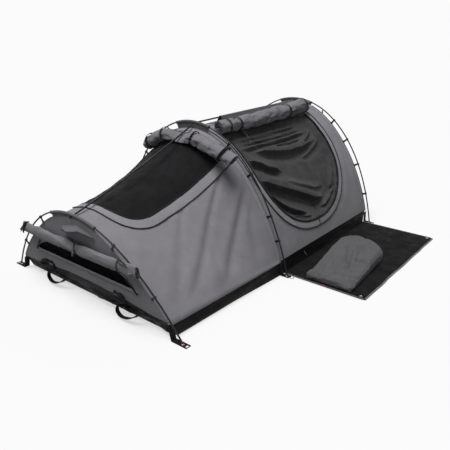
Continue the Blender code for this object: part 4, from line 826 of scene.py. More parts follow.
def make_end_walls():
    rows = wall_rows(FOOT, 0.0022)
    sheet("foot_wall", rows, TO_FOOT, WALL_SHOWN, canvas, "foot_end_wall",
          hole=opening(rows, foot_window(0.004), 0, 2))
    band = [trace(on_foot_end, foot_window(mix(-0.002, 0.020, share)), 0.0028 + 0.0006 * math.sin(math.pi * share))
            for share in steps(3)]
    piece("foot_window_band", cloth_grid(band, TO_FOOT, 0.0016), canvas_band)
    sill = [on_foot_end(x, 0.203, 0.0028) for x in steps(40, -0.45, 0.45)]
    piece("foot_window_sill", ribbon(sill, TO_FOOT, 0.018, 0.0016), canvas_band)
    netting = []
    for share in steps(16):
        row = []
        for x, top in foot_window(0.009):
            z = mix(0.196, top, share)
            row.append(on_foot_end(x, z, -0.0050 - 0.003 * math.sin(math.pi * share) * (1 + fractal(x * 9, share * 2))))
        netting.append(row)
    sheet("foot_netting", netting, TO_FOOT, NETTING_SHOWN, end_netting, "foot_window_mesh")
    sheet("head_wall", wall_rows(HEAD, -0.0022), TO_HEAD, WALL_SHOWN, canvas, "head_end_wall")
    seams = []
    for side in (-1, 1):
        path = [Vector((side * mix(0.30, 0.245, share), plane_y(HEAD, z) + 0.0016, z))
                for share, z in zip(steps(24), steps(24, 0.10, 0.835))]
        seams.append(ribbon(path, TO_HEAD, 0.012, 0.0012))
    piece("head_wall_seams", Part(*seams), canvas_band)
    ties = []
    for low, high in (((-0.453, 0.201), (-0.394, 0.270)), ((0.446, 0.191), (0.377, 0.260))):
        path = [on_foot_end(mix(low[0], high[0], share), mix(low[1], high[1], share), 0.0046) for share in steps(8)]
        ties.append(ribbon(path, TO_FOOT, 0.014, 0.0014))
    piece("foot_window_ties", Part(*ties), webbing)


# Netting of the roof window and doors

ROOF_NET_Y = -0.262
ROOF_NET_MID_HALF_WIDTH = 0.293
ROOF_NET_HALF_WIDTH = 0.262


def make_roof_netting():
    rows = []
    for share in steps(40):
        y = mix(ROOF_NET_Y, -0.978, share)
        half = mix(ROOF_NET_MID_HALF_WIDTH, ROOF_NET_HALF_WIDTH, min(1, (ROOF_NET_Y - y) / 0.46))
        if y < WINDOW_SHOULDER_Y:
            drop = min(1, (WINDOW_SHOULDER_Y - y) / ROOF_NET_HALF_WIDTH)
            half = ROOF_NET_HALF_WIDTH * max(0.03, 1 - drop ** 3) ** (1 / 3)
        row = []
        for x in steps(48, -half, half):
            slack = 0.006 * math.sin(math.pi * min(1, share * 1.1)) * max(0, 1 - (x / half) ** 2)
            row.append(on_roof(x, y, -0.0045 - slack * (1 + 0.6 * fractal(x * 4, y * 9, 2))))
        rows.append(row)
    sheet("roof_netting_panel", rows, out_from_axis, NETTING_SHOWN, roof_netting, "roof_window_mesh")


# Folds of the netting: a line of y and z, how far it stands out, and the widths of its shaded and its lit side
NETTING_FOLDS = (
    (((-0.05, 0.775), (0.350, 0.772), (0.750, 0.780)), 0.008, 0.010, 0.025),
    (((-0.05, 0.756), (0.446, 0.750), (0.720, 0.758)), 0.010, 0.012, 0.020),
    (((-0.06, 0.734), (0.336, 0.726), (0.801, 0.738)), 0.012, 0.014, 0.022),
    (((0.287, 0.704), (0.480, 0.700), (0.657, 0.707)), 0.009, 0.012, 0.020),
    (((0.060, 0.712), (0.264, 0.679), (0.407, 0.660), (0.574, 0.660), (0.818, 0.680)), 0.026, 0.032, 0.060),
    (((-0.038, 0.675), (0.037, 0.645), (0.111, 0.608), (0.251, 0.557)), 0.020, 0.026, 0.055),
    (((-0.055, 0.565), (0.067, 0.515), (0.197, 0.460), (0.337, 0.402), (0.464, 0.345), (0.590, 0.318)),
     0.032, 0.050, 0.090),
    (((-0.015, 0.486), (0.018, 0.443), (0.063, 0.396), (0.137, 0.347), (0.245, 0.301), (0.347, 0.265)),
     0.020, 0.026, 0.036),
    (((0.130, 0.300), (0.256, 0.265), (0.370, 0.246)), 0.014, 0.018, 0.026),
    (((0.188, 0.508), (0.333, 0.460), (0.483, 0.402), (0.640, 0.390)), 0.010, 0.030, 0.050),
    (((0.840, 0.560), (0.800, 0.470), (0.730, 0.400), (0.660, 0.350)), 0.018, 0.030, 0.045),
    (((0.800, 0.420), (0.720, 0.350), (0.600, 0.292), (0.480, 0.262)), 0.020, 0.024, 0.030),
    (((0.845, 0.690), (0.777, 0.655), (0.654, 0.616), (0.520, 0.590)), 0.012, 0.026, 0.050),
    (((0.830, 0.750), (0.749, 0.712), (0.632, 0.680)), 0.010, 0.014, 0.030))


def fold_height(line, height, drop, rise, y, z):
    """How far a fold's crest lifts the cloth at a point: gently from above, sharply from below."""
    count = len(line) - 1
    best = None
    for index in range(count):
        (ay, az), (by, bz) = line[index], line[index + 1]
        reach = (by - ay) ** 2 + (bz - az) ** 2
        share = min(max(((y - ay) * (by - ay) + (z - az) * (bz - az)) / reach, 0), 1)
        gap = math.hypot(y - mix(ay, by, share), z - mix(az, bz, share))
        if best is None or gap < best[0]:
            turn = (by - ay) * (z - az) - (bz - az) * (y - ay)
            best = (gap, turn < 0 if by > ay else turn > 0, (index + share) / count)
    gap, below, along = best
    if gap > drop + rise:
        return 0
    fade = ease(along / 0.22) * ease((1 - along) / 0.22)
    drop *= mix(0.4, 1, fade)
    if not below:
        return height * fade * max(0, 1 - gap / rise) ** 1.6
    if gap < drop:
        return height * fade * (1 - 1.8 * (1 - (1 - gap / drop) ** 3))
    return -0.8 * height * fade * max(0, 1 - (gap - drop) / rise) ** 2


def ridge(turn, sharp):
    """A row of sharp folds with broad hollows between them."""
    return 1 - abs(math.sin(turn)) ** sharp


def door_slack(y, z):
    """How far the netting hangs in from the door's edge."""
    across = abs(y - DOOR_Y) / DOOR_HALF_WIDTH
    down = max(0, DOOR_SHOULDER - z) / DOOR_DROP
    free = max(0, 1 - across ** DOOR_POWER - down ** DOOR_POWER)
    top = ease((0.822 - z) / 0.030)
    lifted = sum(fold_height(*fold, y, z) for fold in NETTING_FOLDS)
    drawn = 0.0045 * ridge(4 * fractal(y * 1.3 + 2, z * 3.4, 3), 0.6) + 0.003 * fractal(y * 4, z * 13, 4)
    hang = 0.024 - 1.45 * lifted - drawn
    turn = math.atan2(DOOR_SHOULDER - z, y - DOOR_Y) * 19 + 2 * fractal(y * 3, z * 3, 9)
    rim = 0.006 * ridge(turn, 0.6) * ease(1 - free * 2.2)
    return ease(free * 4.5) * top * max(0.0, hang) + rim * top * ease(free * 16)


def door_columns(low, high, count, half, drop, top, down_count):
    """Each column of a sheet that fills the door: its share across, and its y and z down to the rounded foot."""
    columns = []
    for y in steps(count, low, high):
        across = min(1, abs(y - DOOR_Y) / half)
        bottom = DOOR_SHOULDER - drop * max(0.0, 1 - across ** DOOR_POWER) ** (1 / DOOR_POWER)
        columns.append((across, [(y, z) for z in steps(down_count, top, bottom)]))
    return columns


def make_door_netting():
    for name, surface, depth, count in (("near", on_side, 1.0, 150), ("far", on_far_side, 0.5, 40)):
        rows = [[surface(y, z, -0.0042 - door_slack(y, z) * depth) for y, z in column]
                for _, column in door_columns(-0.103, 0.903, count, 0.503, 0.509, 0.826, 120)]
        sheet(name + "_netting", rows, out_from_axis, DOOR_NETTING_SHOWN, door_netting_painted_sheen, name + "_door_mesh")


def make_far_cover():
    rows = []
    for across, column in door_columns(-0.140, 0.940, 50, 0.541, 0.541, 0.852, 40):
        row = []
        for down, (y, z) in zip(steps(40), column):
            calm = ease((1 - across) * 5) * ease(down * 6) * ease((1 - down) * 6)
            row.append(on_far_side(y, z, 0.0034 + calm * 0.0022 * fractal(y * 4, z * 5, 8)))
        rows.append(row)
    sheet("far_cover", rows, out_from_axis, COVER_SHOWN, canvas, "far_door_cover")


# Rolled covers

def spiral_roll(stations, turns, per_turn, hollow, wobble, seed):
    """A cover rolled up: each station is a centre, two directions and two half sizes."""
    count = int(turns * per_turn)
    rings = []
    for index, (centre, side_a, side_b, half_a, half_b) in enumerate(stations):
        outer = []
        inner = []
        for step in range(count + 1):
            angle = 2 * math.pi * step / per_turn
            reach = mix(1, hollow, step / count)
            if step < per_turn * 1.5:
                fade = ease((1.5 - step / per_turn) * 2)
                lump = fractal(index * 0.11, math.cos(angle) * 1.1, math.sin(angle) * 1.1 + seed)
                twist = abs(math.sin(index * 0.17 + angle * 1.5 + 3.4 * fractal(index * 0.07, angle * 0.5, seed)))
                reach += fade * wobble * (2.4 * lump - 2.2 * (1 - twist) ** 4)
                reach -= max(0, 0.05 * (1 - step / (per_turn * 0.16)))
            layer = ROLL_CLOTH / max(half_a, half_b)
            for target, radius in ((outer, reach), (inner, reach - layer)):
                target.append(centre + side_a * (half_a * radius * math.cos(angle))
                              + side_b * (half_b * radius * math.sin(angle)))
        rings.append(outer + inner[::-1])
    girth = spacing(rings[0][:count + 1])
    return ring_sweep(rings, girth=girth + girth[::-1]), girth[count]


def roll(name, node, stations, rests_on, *form, length=None):
    part, developed = spiral_roll(stations, *form)
    item = piece(name, part, canvas_roll_painted_shade, node)
    length = length or spacing([station[0] for station in stations])[-1]


def between(stations, place):
    """A station between two of a roll's stations."""
    at = place * (len(stations) - 1)
    low = min(int(at), len(stations) - 2)
    return tuple(a.lerp(b, at - low) if isinstance(a, Vector) else mix(a, b, at - low)
                 for a, b in zip(stations[low], stations[low + 1]))


def loops_round(stations, places, lift, thickness, width):
    """Bands round a roll."""
    loops = []
    for place in places:
        centre, side_a, side_b, half_a, half_b = between(stations, place)
        path = []
        normals = []
        for step in range(36):
            angle = 2 * math.pi * step / 36
            path.append(centre + side_a * ((half_a + lift) * math.cos(angle))
                        + side_b * ((half_b + lift) * math.sin(angle)))
            normals.append(side_a * math.cos(angle) + side_b * math.sin(angle))
        loops.append(ribbon(path, normals, width, thickness, closed=True))
    return loops


def waist(share, ties, width, depth):
    return depth * max(math.exp(-((share - tie) / width) ** 2) for tie in ties)


DOOR_TIES = (0.190, 0.75)
ROOF_TIES = (0.25, 0.60)
BAR_TIES = (0.505, 0.86)
DOOR_ROLL_PLACE = 21.5 / ACROSS
BAR_LOW_X = -0.485
BAR_HIGH_X = 0.505
BAR_HEIGHT = 0.350


def toggle(centre, axis, length=0.026, radius=0.0048):
    half = ((0, 0.5), (0.08, 0.9), (0.3, 1), (0.45, 0.7))
    profile = [(length * place, radius * girth) for place, girth in half]
    profile += [(length * (1 - place), radius * girth) for place, girth in reversed(half)]
    return turned(centre - axis * (length / 2), axis, profile, 12)


def make_door_roll():
    stations = []
    for share in steps(80):
        along = mix(0.05, 0.875, share)
        inward = head_section.inward(along, DOOR_ROLL_PLACE)
        inward = Vector((inward.x, 0, inward.z)).normalized()
        slim = waist(share, DOOR_TIES, 0.030, 0.0085) + 0.004 * max(0, 1 - share / 0.05)
        slim += 0.010 * max(0, (share - 0.93) / 0.07) ** 2
        centre = head_section.plain(along, DOOR_ROLL_PLACE) - inward * mix(0.0458, 0.0548, share)
        stations.append((centre, Vector((-inward.z, 0, inward.x)), inward,
                         mix(0.0490, 0.0590, share) - slim, mix(0.0450, 0.0540, share) - slim))
    roll("door_cover_rolled", "near_door_roll", stations, ["head_canvas"], 4.6, 32, 0.20, 0.075, 0.0)
    piece("door_roll_zip_edge", Part(*loops_round(stations, (0.075, 0.955), 0.0008, 0.0022, 0.010)), zip_paint)
    ties = []
    for tie, loop in zip(DOOR_TIES, loops_round(stations, DOOR_TIES, 0.0018, 0.0026, 0.011)):
        centre, side_a, side_b, half_a, _ = between(stations, tie)
        ties += [loop, toggle(centre + side_a * (half_a + 0.006) * 0.9 + side_b * 0.008, TO_HEAD)]
    piece("door_roll_ties", Part(*ties), webbing)


def make_roof_roll():
    stations = []
    for share in steps(90):
        step = mix(-7, 9, share)
        place = 0.5 + step / ACROSS
        press = ease(abs(step) / 3)
        thick = mix(0.0125, 0.0450, press)
        run = (foot_section.plain(1.0, place) - foot_section.plain(0.8, place)).normalized()
        inward = foot_section.inward(0.9, place)
        inward = (inward - run * inward.dot(run)).normalized()
        pinch = waist(share, ROOF_TIES, 0.03, 0.006)
        centre = foot_section.plain(0.9, place) - inward * (thick + 0.080 * ease((step - 3) / 6) + 0.0008)
        stations.append((centre, run, inward, 0.0510 - pinch, thick - pinch * press * 0.8))
    bend = int(0.85 * 90)
    centre, side_a, side_b, half_a, thick = stations[bend]
    step = (centre - stations[bend - 5][0]) / 5
    rest = 90 - bend
    for index in range(1, rest + 1):
        stations[bend + index] = (centre + step * index, side_a, side_b, half_a,
                                  mix(thick, 0.0430, ease(index / rest * 2)))
    roll("roof_cover_rolled", "roof_cover_roll", stations, ["foot_canvas"], 3.6, 32, 0.20, 0.075, 4.0)
    piece("roof_roll_zip_edge", Part(*loops_round(stations, (0.060, 0.905), 0.0016, 0.0026, 0.019)), zip_paint)
    piece("roof_roll_ties", Part(*loops_round(stations, ROOF_TIES, 0.0018, 0.0026, 0.011)), webbing)


def make_bar():
    """The foot window's cover, rolled to a bar on the hoop, with its flap, straps and cords."""
    front = plane_y(FOOT, 0.359) - HOOP_RADIUS - TOUCH
    stations = []
    for share in steps(80):
        pinch = waist(share, BAR_TIES, 0.02, 0.004)
        centre = Vector((mix(BAR_LOW_X, BAR_HIGH_X, share), front - 0.0176, BAR_HEIGHT - 0.040 * share * (1 - share)))
        stations.append((centre, UP, TO_FOOT, 0.0375 - pinch, 0.0175 - pinch * 0.6))
    roll("foot_cover_folded", "foot_cover_bar", stations, ["foot_hoop_pole"], 3.2, 28, 0.25, 0.07, 9.0,
         length=BAR_HIGH_X - BAR_LOW_X)
    piece("foot_bar_ties", Part(*loops_round(stations, BAR_TIES, 0.0015, 0.0022, 0.010)), webbing_grey)
    start, middle, tied, end = (stations[index][0] for index in (0, 40, 69, 80))

    def path_from(spot, count, *corners):
        return smooth_path([spot + Vector(corner) for corner in corners], count)

    rows = []
    for share in steps(12):
        top = 0.0155 - 0.058 * share ** 1.3
        rows.append([start + Vector((-0.070 * share, 0.006 * math.sin(math.pi * side), top - mix(0.044, 0.012, share) * side))
                     for side in steps(8)])
    piece("foot_bar_flap", cloth_grid(rows, TO_FOOT, COVER_SHOWN), canvas_roll_painted_shade)
    strap = [start + Vector((0.026 - 0.022 * share, -0.0195, 0.026 - 0.062 * share)) for share in steps(12)]
    over = path_from(start, 12, (0.026, -0.019, 0.026), (0.030, -0.008, 0.0325), (0.034, 0.010, 0.030))
    piece("foot_bar_strap", Part(ribbon(strap, TO_FOOT, 0.016, 0.0022),
                                 ribbon(over, Vector((0, -0.5, 1)).normalized(), 0.016, 0.0022)), webbing)
    cord = path_from(middle, 24, (0.040, -0.016, 0.052), (0.030, -0.022, 0.030), (0.016, -0.0235, 0.008),
                     (0.002, -0.024, -0.018))
    piece("foot_bar_cords", Part(
        tube(cord, 0.0022), toggle(cord[-1] - UP * 0.006, Vector((0.3, 0, 1)).normalized(), 0.024, 0.0062),
        toggle(end + Vector((-0.030, -0.022, -0.006)), Vector((1, 0, 0.2)).normalized(), 0.024, 0.0058)),
          binding)
    tails = (path_from(tied, 20, (0, -0.004, 0.030), (0.026, -0.010, 0.040), (0.056, -0.012, 0.036), (0.080, -0.008, 0.028)),
             path_from(tied, 20, (0, -0.008, 0.028), (0.030, -0.016, 0.024), (0.060, -0.018, 0.030), (0.078, -0.014, 0.020)))
    piece("foot_bar_tails", Part(*[tube(tail, 0.0028) for tail in tails]), piping)


# Poles and sleeves

def make_poles():
    collar = ((-0.004, HOOP_RADIUS), (-0.0036, HOOP_RADIUS + 0.0005), (0.0036, HOOP_RADIUS + 0.0005), (0.004, HOOP_RADIUS))
    for label, hoop in HOOPS:
        low = find_share(lambda share: hoop_point(hoop, share).z - POLE_END_HEIGHT, 0, 0.25)
        parts = [tube([hoop_point(hoop, share) for share in steps(150, low, 1 - low)], HOOP_RADIUS, 12, start=TO_HEAD)]
        for place in (0.18, 0.39, 0.61, 0.82):
            share = mix(low, 1 - low, place)
            parts.append(turned(hoop_point(hoop, share), hoop_frame(hoop, share)[0], collar, 12))
        piece(label + "_hoop_tube", Part(*parts), pole_paint, label + "_hoop_pole")


SLEEVE_CLOTH = 0.0016
SLEEVE_LEG = 0.0013
SLEEVE_SLIT = 0.0002


def sleeve_ring(centre, down, length, bore, depth):
    """A sleeve's section: cloth over the pole, both layers sewn down to the canvas."""
    seam = centre + down * depth

    def around(radius, half, slack):
        start = math.asin(half / radius)
        points = []
        for angle in steps(14, start, 2 * math.pi - start):
            swell = slack * (0.5 + 0.5 * math.cos(angle))
            points.append(centre + down * ((radius + swell) * math.cos(angle)) + length * (radius * math.sin(angle)))
        return points

    return ([seam + length * SLEEVE_LEG] + around(bore + SLEEVE_CLOTH, SLEEVE_LEG, 0.003)
            + [seam - length * SLEEVE_LEG, seam - length * SLEEVE_SLIT] + around(bore, SLEEVE_SLIT, 0)[::-1]
            + [seam + length * SLEEVE_SLIT])


def make_sleeves():
    for (label, hoop), (low, high) in zip(HOOPS, ((13, 23), (15, 21), (15, 21))):
        rings = []
        for index, step in enumerate(steps(60, low, high)):
            share = station(hoop, step / ACROSS)
            _, inward, length = hoop_frame(hoop, share)
            ripple = abs(0.0011 * fractal(index * 0.35, hoop.y))
            rings.append(sleeve_ring(hoop_point(hoop, share), inward, length, HOOP_RADIUS + 0.0009 + ripple,
                                     canvas_gap(hoop, share) - TOUCH))
        name = label + "_hoop_sleeve"
        piece(name + "_cloth", ring_sweep(rings), canvas_sleeve, name)
        piece(name + "_binding", Part(*[tube(ring[1:16], 0.0014, 6) for ring in (rings[0], rings[-1])]), webbing)


def make_ridge_sleeve():
    top = [hoop_point(hoop, 0.5) + hoop_frame(hoop, 0.5)[1] * drop for hoop, drop in ((MID, 0.0125), (HEAD, 0.0145))]
    rings = []
    for index, along in enumerate(steps(70, 0.22, 0.96)):
        foot = head_section.plain(along, 0.5 + 1 / ACROSS)
        centre = top[0].lerp(top[1], along)
        centre.y = foot.y
        loose = 0.0022 * fractal(index * 0.22, 2.0)
        outer = 0.0086 + abs(loose) * 0.4
        base = foot.z + 0.0008

        def flank(side, inset, drop):
            """From the canvas up to the pole on one side."""
            knee = mix(base, centre.z, 0.42 + side * loose * 20) - drop
            return [Vector((side * (foot.x - inset), foot.y, base)),
                    Vector((side * (mix(foot.x, outer, 0.55) - inset), foot.y, knee))]

        def crown(radius):
            return [centre + Vector((radius * math.cos(angle), 0, radius * math.sin(angle)))
                    for angle in steps(8, 0, math.pi)]

        rings.append(flank(1, 0, 0) + crown(outer) + flank(-1, 0, 0)[::-1] + flank(-1, SLEEVE_CLOTH, 0.001)
                     + crown(outer - SLEEVE_CLOTH)[::-1] + flank(1, SLEEVE_CLOTH, 0.001)[::-1])
    piece("head_ridge_cloth", ring_sweep(rings), canvas_sleeve, "head_ridge_sleeve")
    piece("head_ridge_binding", tube(rings[0][1:12], 0.0016, 6), webbing)


# Hooks

def hook_part(hoop, place):
    """A plastic hook on the hoop with the webbing tag that joins it to the hem."""
    share = station(hoop, place)
    tangent, inward, length = hoop_frame(hoop, share)
    centre = hoop_point(hoop, share)
    depth = canvas_gap(hoop, share) - 0.0006
    bore = HOOP_RADIUS + 0.0006
    outer = bore + 0.0032
    half = 0.0022
    start = math.asin(half / outer)
    mouth = 2 * math.pi - math.pi / 3
    outline = [(depth * 0.80, half), (outer * math.cos(start), half)]
    outline += [(outer * math.cos(angle), outer * math.sin(angle)) for angle in steps(12, start, mouth)[1:]]
    outline += [(bore * math.cos(angle), bore * math.sin(angle)) for angle in steps(12, mouth, 0)]
    outline += [(bore, -half), (depth * 0.80, -half)]
    reach = tangent * 0.0065
    points = [centre + inward * down + length * away - reach for down, away in outline]
    tag = [centre + inward * (depth * mix(0.62, 1.08, share)) for share in steps(4)]
    back = [point - length * 0.0026 for point in tag]
    return Part(slab(points, reach * 2, 0.0005), ribbon(tag, length, 0.016, 0.0034), ribbon(back, -length, 0.015, 0.0016))


def make_hooks():
    for (label, hoop), top, columns in zip(HOOPS, (13, 15, 15), ((2, 5, 9), (1, 3, 7, 11), (1, 4, 7, 10))):
        for side_label, side in SIDES:
            path = []
            normals = []
            for place in steps(80, 0, (top - 0.15) / ACROSS):
                share = station(hoop, place)
                length = hoop_frame(hoop, share)[2]
                point = under_hoop(hoop, share, -0.0028) - length * 0.0007
                path.append(Vector((-point.x * side, point.y, point.z)))
                normals.append(Vector((-length.x * side, length.y, length.z)))
            name = label + "_" + side_label
            piece(name + "_tape", ribbon(path, normals, 0.0060, 0.0014), canvas_band, name + "_hook_tape")
            hooks = Part(*[hook_part(hoop, (column + 0.5) / ACROSS) for column in columns])
            if side > 0:
                hooks.points = [Vector((-point.x, point.y, point.z)) for point in hooks.points]
            piece(name + "_hooks", hooks, plastic)


# Tub and mattress

RIMS = [-under_hoop(hoop, seam_share(hoop, TUB_HEIGHT)).x for _, hoop in HOOPS]
TUB_CORNER = 0.014
TUB_SKIN = 0.0022


def tub_foot_y(height):
    return mix(TUB_FOOT_Y, plane_y(FOOT, TUB_HEIGHT), height / TUB_HEIGHT)


def tub_head_y(height):
    return mix(TUB_HEAD_Y, plane_y(HEAD, TUB_HEIGHT), height / TUB_HEIGHT)


def tub_side_x(y, height):
    rise = height / TUB_HEIGHT
    foot_x, mid_x, head_x = (mix(base, rim, rise) for base, rim in zip(
        (TUB_FOOT_HALF_WIDTH, TUB_SIDE_HALF_WIDTH, TUB_SIDE_HALF_WIDTH), RIMS))
    mid_y = plane_y(MID, height)
    if y < mid_y:
        return mix(foot_x, mid_x, (y - tub_foot_y(height)) / (mid_y - tub_foot_y(height)))
    return mix(mid_x, head_x, (y - mid_y) / (tub_head_y(height) - mid_y))


def tub_loop(height):
    """The tub's outline at a height, with rounded corners."""
    foot_y = tub_foot_y(height)
    head_y = tub_head_y(height)
    foot_x = tub_side_x(foot_y, height) - TUB_CORNER
    head_x = tub_side_x(head_y, height) - TUB_CORNER
    corner = [(TUB_CORNER * math.sin(angle), TUB_CORNER * math.cos(angle)) for angle in steps(6, 0, math.pi / 2)][:-1]
    right = [(x, foot_y) for x in steps(30, 0, foot_x)][:-1]
    right += [(foot_x + sine, foot_y + TUB_CORNER - cosine) for sine, cosine in corner]
    right += [(tub_side_x(y, height), y) for y in steps(60, foot_y + TUB_CORNER, head_y - TUB_CORNER)][:-1]
    right += [(head_x + cosine, head_y - TUB_CORNER + sine) for sine, cosine in corner]
    right += [(x, head_y) for x in steps(30, head_x, 0)]
    return right + [(-x, y) for x, y in reversed(right)][1:-1]


def toward_middle(x, y, height, margin):
    """The direction in from the tub's wall at a point of it."""
    if abs(x) > abs(tub_side_x(y, height)) - margin:
        return Vector((-math.copysign(1, x), 0, 0))
    return Vector((0, -math.copysign(1, y), 0))


def make_tub():
    rows = []
    for height in [0.0] + steps(9, 0.004, TUB_HEIGHT):
        share = height / TUB_HEIGHT
        curl = max(0, 1 - height / 0.030) ** 2
        row = []
        for x, y in tub_loop(height):
            slack = math.sin(math.pi * share) ** 0.7 * ease((1.03 - abs(y)) / 0.08 if abs(x) > 0.6 else 1)
            inward = toward_middle(x, y, height, 0.02)
            if y < -0.9 and inward.y > 0:
                sag = math.sin(math.pi * min(1, share * 1.25)) if share < 0.8 else 0
                lump = 0.5 + fractal(x * 4.6 + 0.6, height * 9, 2.0)
                dent = 0.016 * slack * (0.5 + fractal(x * 11, height * 34, 5.0)) - 0.026 * sag * max(0, lump)
            else:
                dent = 0.0050 * slack * (0.5 + fractal(x * 7, y * 7, height * 30))
                dent += 0.0026 * slack * (0.5 + 0.5 * fractal(x * 25, y * 25, height * 12))
                dent = max(0, dent + mix(0.001, 0.015, ease((-0.12 - y) / 0.5)) * curl)
            row.append(Vector((x, y, height)) + inward * dent)
        rows.append(row)
    skin = []
    for row in rows[::-1]:
        raised = [Vector((point.x, point.y, max(point.z, CANVAS))) for point in row]
        skin.append([point - toward_middle(point.x, point.y, min(point.z, TUB_HEIGHT), 0.03) * -TUB_SKIN
                     for point in raised])
    piece("tub_tray", ring_sweep(rows + skin), pvc, "tub_floor", angle=50)


def rounded(half_x, half_y, radii, inset=0):
    """A rectangle about the origin with rounded corners."""
    points = []
    for corner, (sign_x, sign_y) in enumerate(((1, 1), (-1, 1), (-1, -1), (1, -1))):
        radius = radii[corner]
        for share in steps(8):
            angle = math.pi / 2 * (corner + share)
            points.append((sign_x * (half_x - radius) + (radius - inset) * math.cos(angle),
                           sign_y * (half_y - radius) + (radius - inset) * math.sin(angle)))
    return points


def bake(item):
    """The piece's modifiers applied to its mesh."""
    shown = item.evaluated_get(bpy.context.evaluated_depsgraph_get())
    mesh = bpy.data.meshes.new_from_object(shown)
    item.modifiers.clear()
    item.data = mesh


def blow_up(item, pressure, frames):
    cloth = item.modifiers.new("cloth", "CLOTH")
    for key, value in (("use_pressure", True), ("uniform_pressure_force", pressure), ("quality", 4),
                       ("tension_stiffness", 25), ("compression_stiffness", 12), ("bending_stiffness", 1.2)):
        setattr(cloth.settings, key, value)
    cloth.settings.effector_weights.gravity = 0
    cloth.point_cache.frame_start = 1
    cloth.point_cache.frame_end = frames
    scene = bpy.context.scene
    for number in range(1, frames + 1):
        scene.frame_set(number)
    bake(item)
    scene.frame_set(1)


def soft_block(name, node, material, bounds, base, height, radii, crown, voxel, pressure, frames, body, shape=None):
    """A soft block: blown up a little by the cloth solver from a rounded box."""
    low_x, high_x, low_y, high_y = bounds
    centre = Vector(((low_x + high_x) / 2, (low_y + high_y) / 2, base))
    rings = [[centre + Vector((x, y, level)) for x, y in rounded((high_x - low_x) / 2, (high_y - low_y) / 2, radii, inset)]
             for level, inset in ((0, 0.010), (0.006, 0.002), (height - 0.006, 0.002), (height, 0.010))]
    box = ring_sweep(rings)
    mesh = bpy.data.meshes.new(name)
    mesh.from_pydata([tuple(point) for point in box.points], [], box.faces)
    item = link(name, mesh)
    remesh = item.modifiers.new("remesh", "REMESH")
    remesh.mode = "VOXEL"
    remesh.voxel_size = voxel
    bake(item)
    rest = [vertex.co.copy() for vertex in item.data.vertices]
    blow_up(item, pressure, frames)
    most = 0.010
    for vertex, before in zip(item.data.vertices, rest):
        move = vertex.co - before
        if move.length > most:
            vertex.co = before + move * (most / move.length)
        if shape:
            vertex.co = shape(vertex.co)
        vertex.co.x = min(max(vertex.co.x, low_x), high_x)
        vertex.co.y = min(max(vertex.co.y, low_y), high_y)
        vertex.co.z = min(max(vertex.co.z, base), base + height + crown)
    item.modifiers.new("smooth", "SUBSURF").levels = 1
    bake(item)
    item.data.shade_smooth()
    item.data.materials.append(material)
    spots = [(vertex.co.x + vertex.co.z * 0.3, vertex.co.y + vertex.co.z * 0.7) for vertex in item.data.vertices]
    lay_cloth(item.data, lambda index: spots[index])
    return claim(item, body, node)


def make_mattress():
    pad = soft_block("mattress_pad", "mattress", foam_cover, (-0.612, 0.612, -1.010, 1.028), 0.0034, 0.062, (0.055,) * 4,
                     0.010, 0.016, 3.0, 12, "shelter")
    outline = rounded(0.6125, 1.0195, (0.0575,) * 4)
    edges = [tube([Vector((x, y + 0.009, level)) for x, y in outline], 0.0025, 6, closed=True) for level in (0.012, 0.060)]
    piece("mattress_piping", Part(*edges), piping)


# Hood, tabs, loops and straps

def make_hood():
    rows = []
    for down in steps(14):
        points = []
        for column in steps(28):
            x = mix(-0.110, 0.190, column)
            top = under_hoop(FOOT, find_share(lambda share: hoop_point(FOOT, share).x - x, 0, 1), 0.034)
            lip_z = mix(0.425, 0.488, column)
            reach = 0.048 * math.sin(math.pi * mix(0.125, 1, column))
            lip = on_foot_end(top.x, lip_z, 0.0006 + reach)
            lip.z = min(lip_z, top.z - 0.003)
            point = on_foot_end(top.x, min(top.z, lip.z + 0.026), 0.0006).lerp(lip, down)
            point.y -= 0.0026 + 0.0035 * math.sin(math.pi * down) * math.sin(math.pi * column)
            points.append(point)
        rows.append(points)
    sheet("hood_cloth", rows, Vector((0, -1, 0.3)), COVER_SHOWN, canvas_sleeve, "vent_hood")
    piece("hood_lip", tube([point + TO_FOOT * 0.0006 for point in rows[-1]], 0.0024), webbing_grey)
    rings = [circle(rows[-2][place] + Vector((0, -0.0012, 0.004)), Vector((1, 0, 0)), UP, 0.0042, 12) for place in (3, 6)]
    piece("hood_eyelets", Part(*[tube(ring, 0.0014, 6, closed=True) for ring in rings]), plastic)


def make_tabs():
    for label, _ in HOOPS:
        for side_label, _ in SIDES:
            name = label + "_" + side_label + "_tab"
            node = label + "_" + side_label + "_webbing_tab"
            low_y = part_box(node)[0].y
            mesh = bpy.data.meshes.new(name)
            work = bmesh.new()
            work.from_mesh(bpy.data.objects[node].data)
            edges = [edge for edge in work.edges if edge.calc_face_angle(0) > 0.8]
            bmesh.ops.bevel(work, geom=edges, offset=0.0004, segments=1, affect="EDGES")
            work.to_mesh(mesh)
            work.free()
            spots = [(abs(vertex.co.x) + vertex.co.z, vertex.co.y - low_y) for vertex in mesh.vertices]
            lay_cloth(mesh, lambda index: spots[index])
            smooth_mesh(mesh, 30)
            mesh.materials.clear()
            mesh.materials.append(webbing)
            claim(link(name, mesh), "shelter", node)


# Distances across, out from the tub's foot end and up
LOOP_PATH = ((-0.030, 0.002, 0.104), (-0.054, 0.018, 0.078), (-0.066, 0.036, 0.044), (-0.040, 0.050, 0.021),
             (0.010, 0.050, 0.026), (0.060, 0.034, 0.046), (0.108, 0.002, 0.082))
# Distances across, out from the foot end's plane and up
TAIL_PATH = ((-0.018, 0.006, 0.136), (-0.052, 0.014, 0.140), (-0.078, 0.020, 0.128), (-0.062, 0.022, 0.112),
             (-0.020, 0.020, 0.116), (0.016, 0.022, 0.112), (0.028, 0.026, 0.098), (0.002, 0.026, 0.088),
             (-0.040, 0.024, 0.094), (-0.064, 0.020, 0.080))


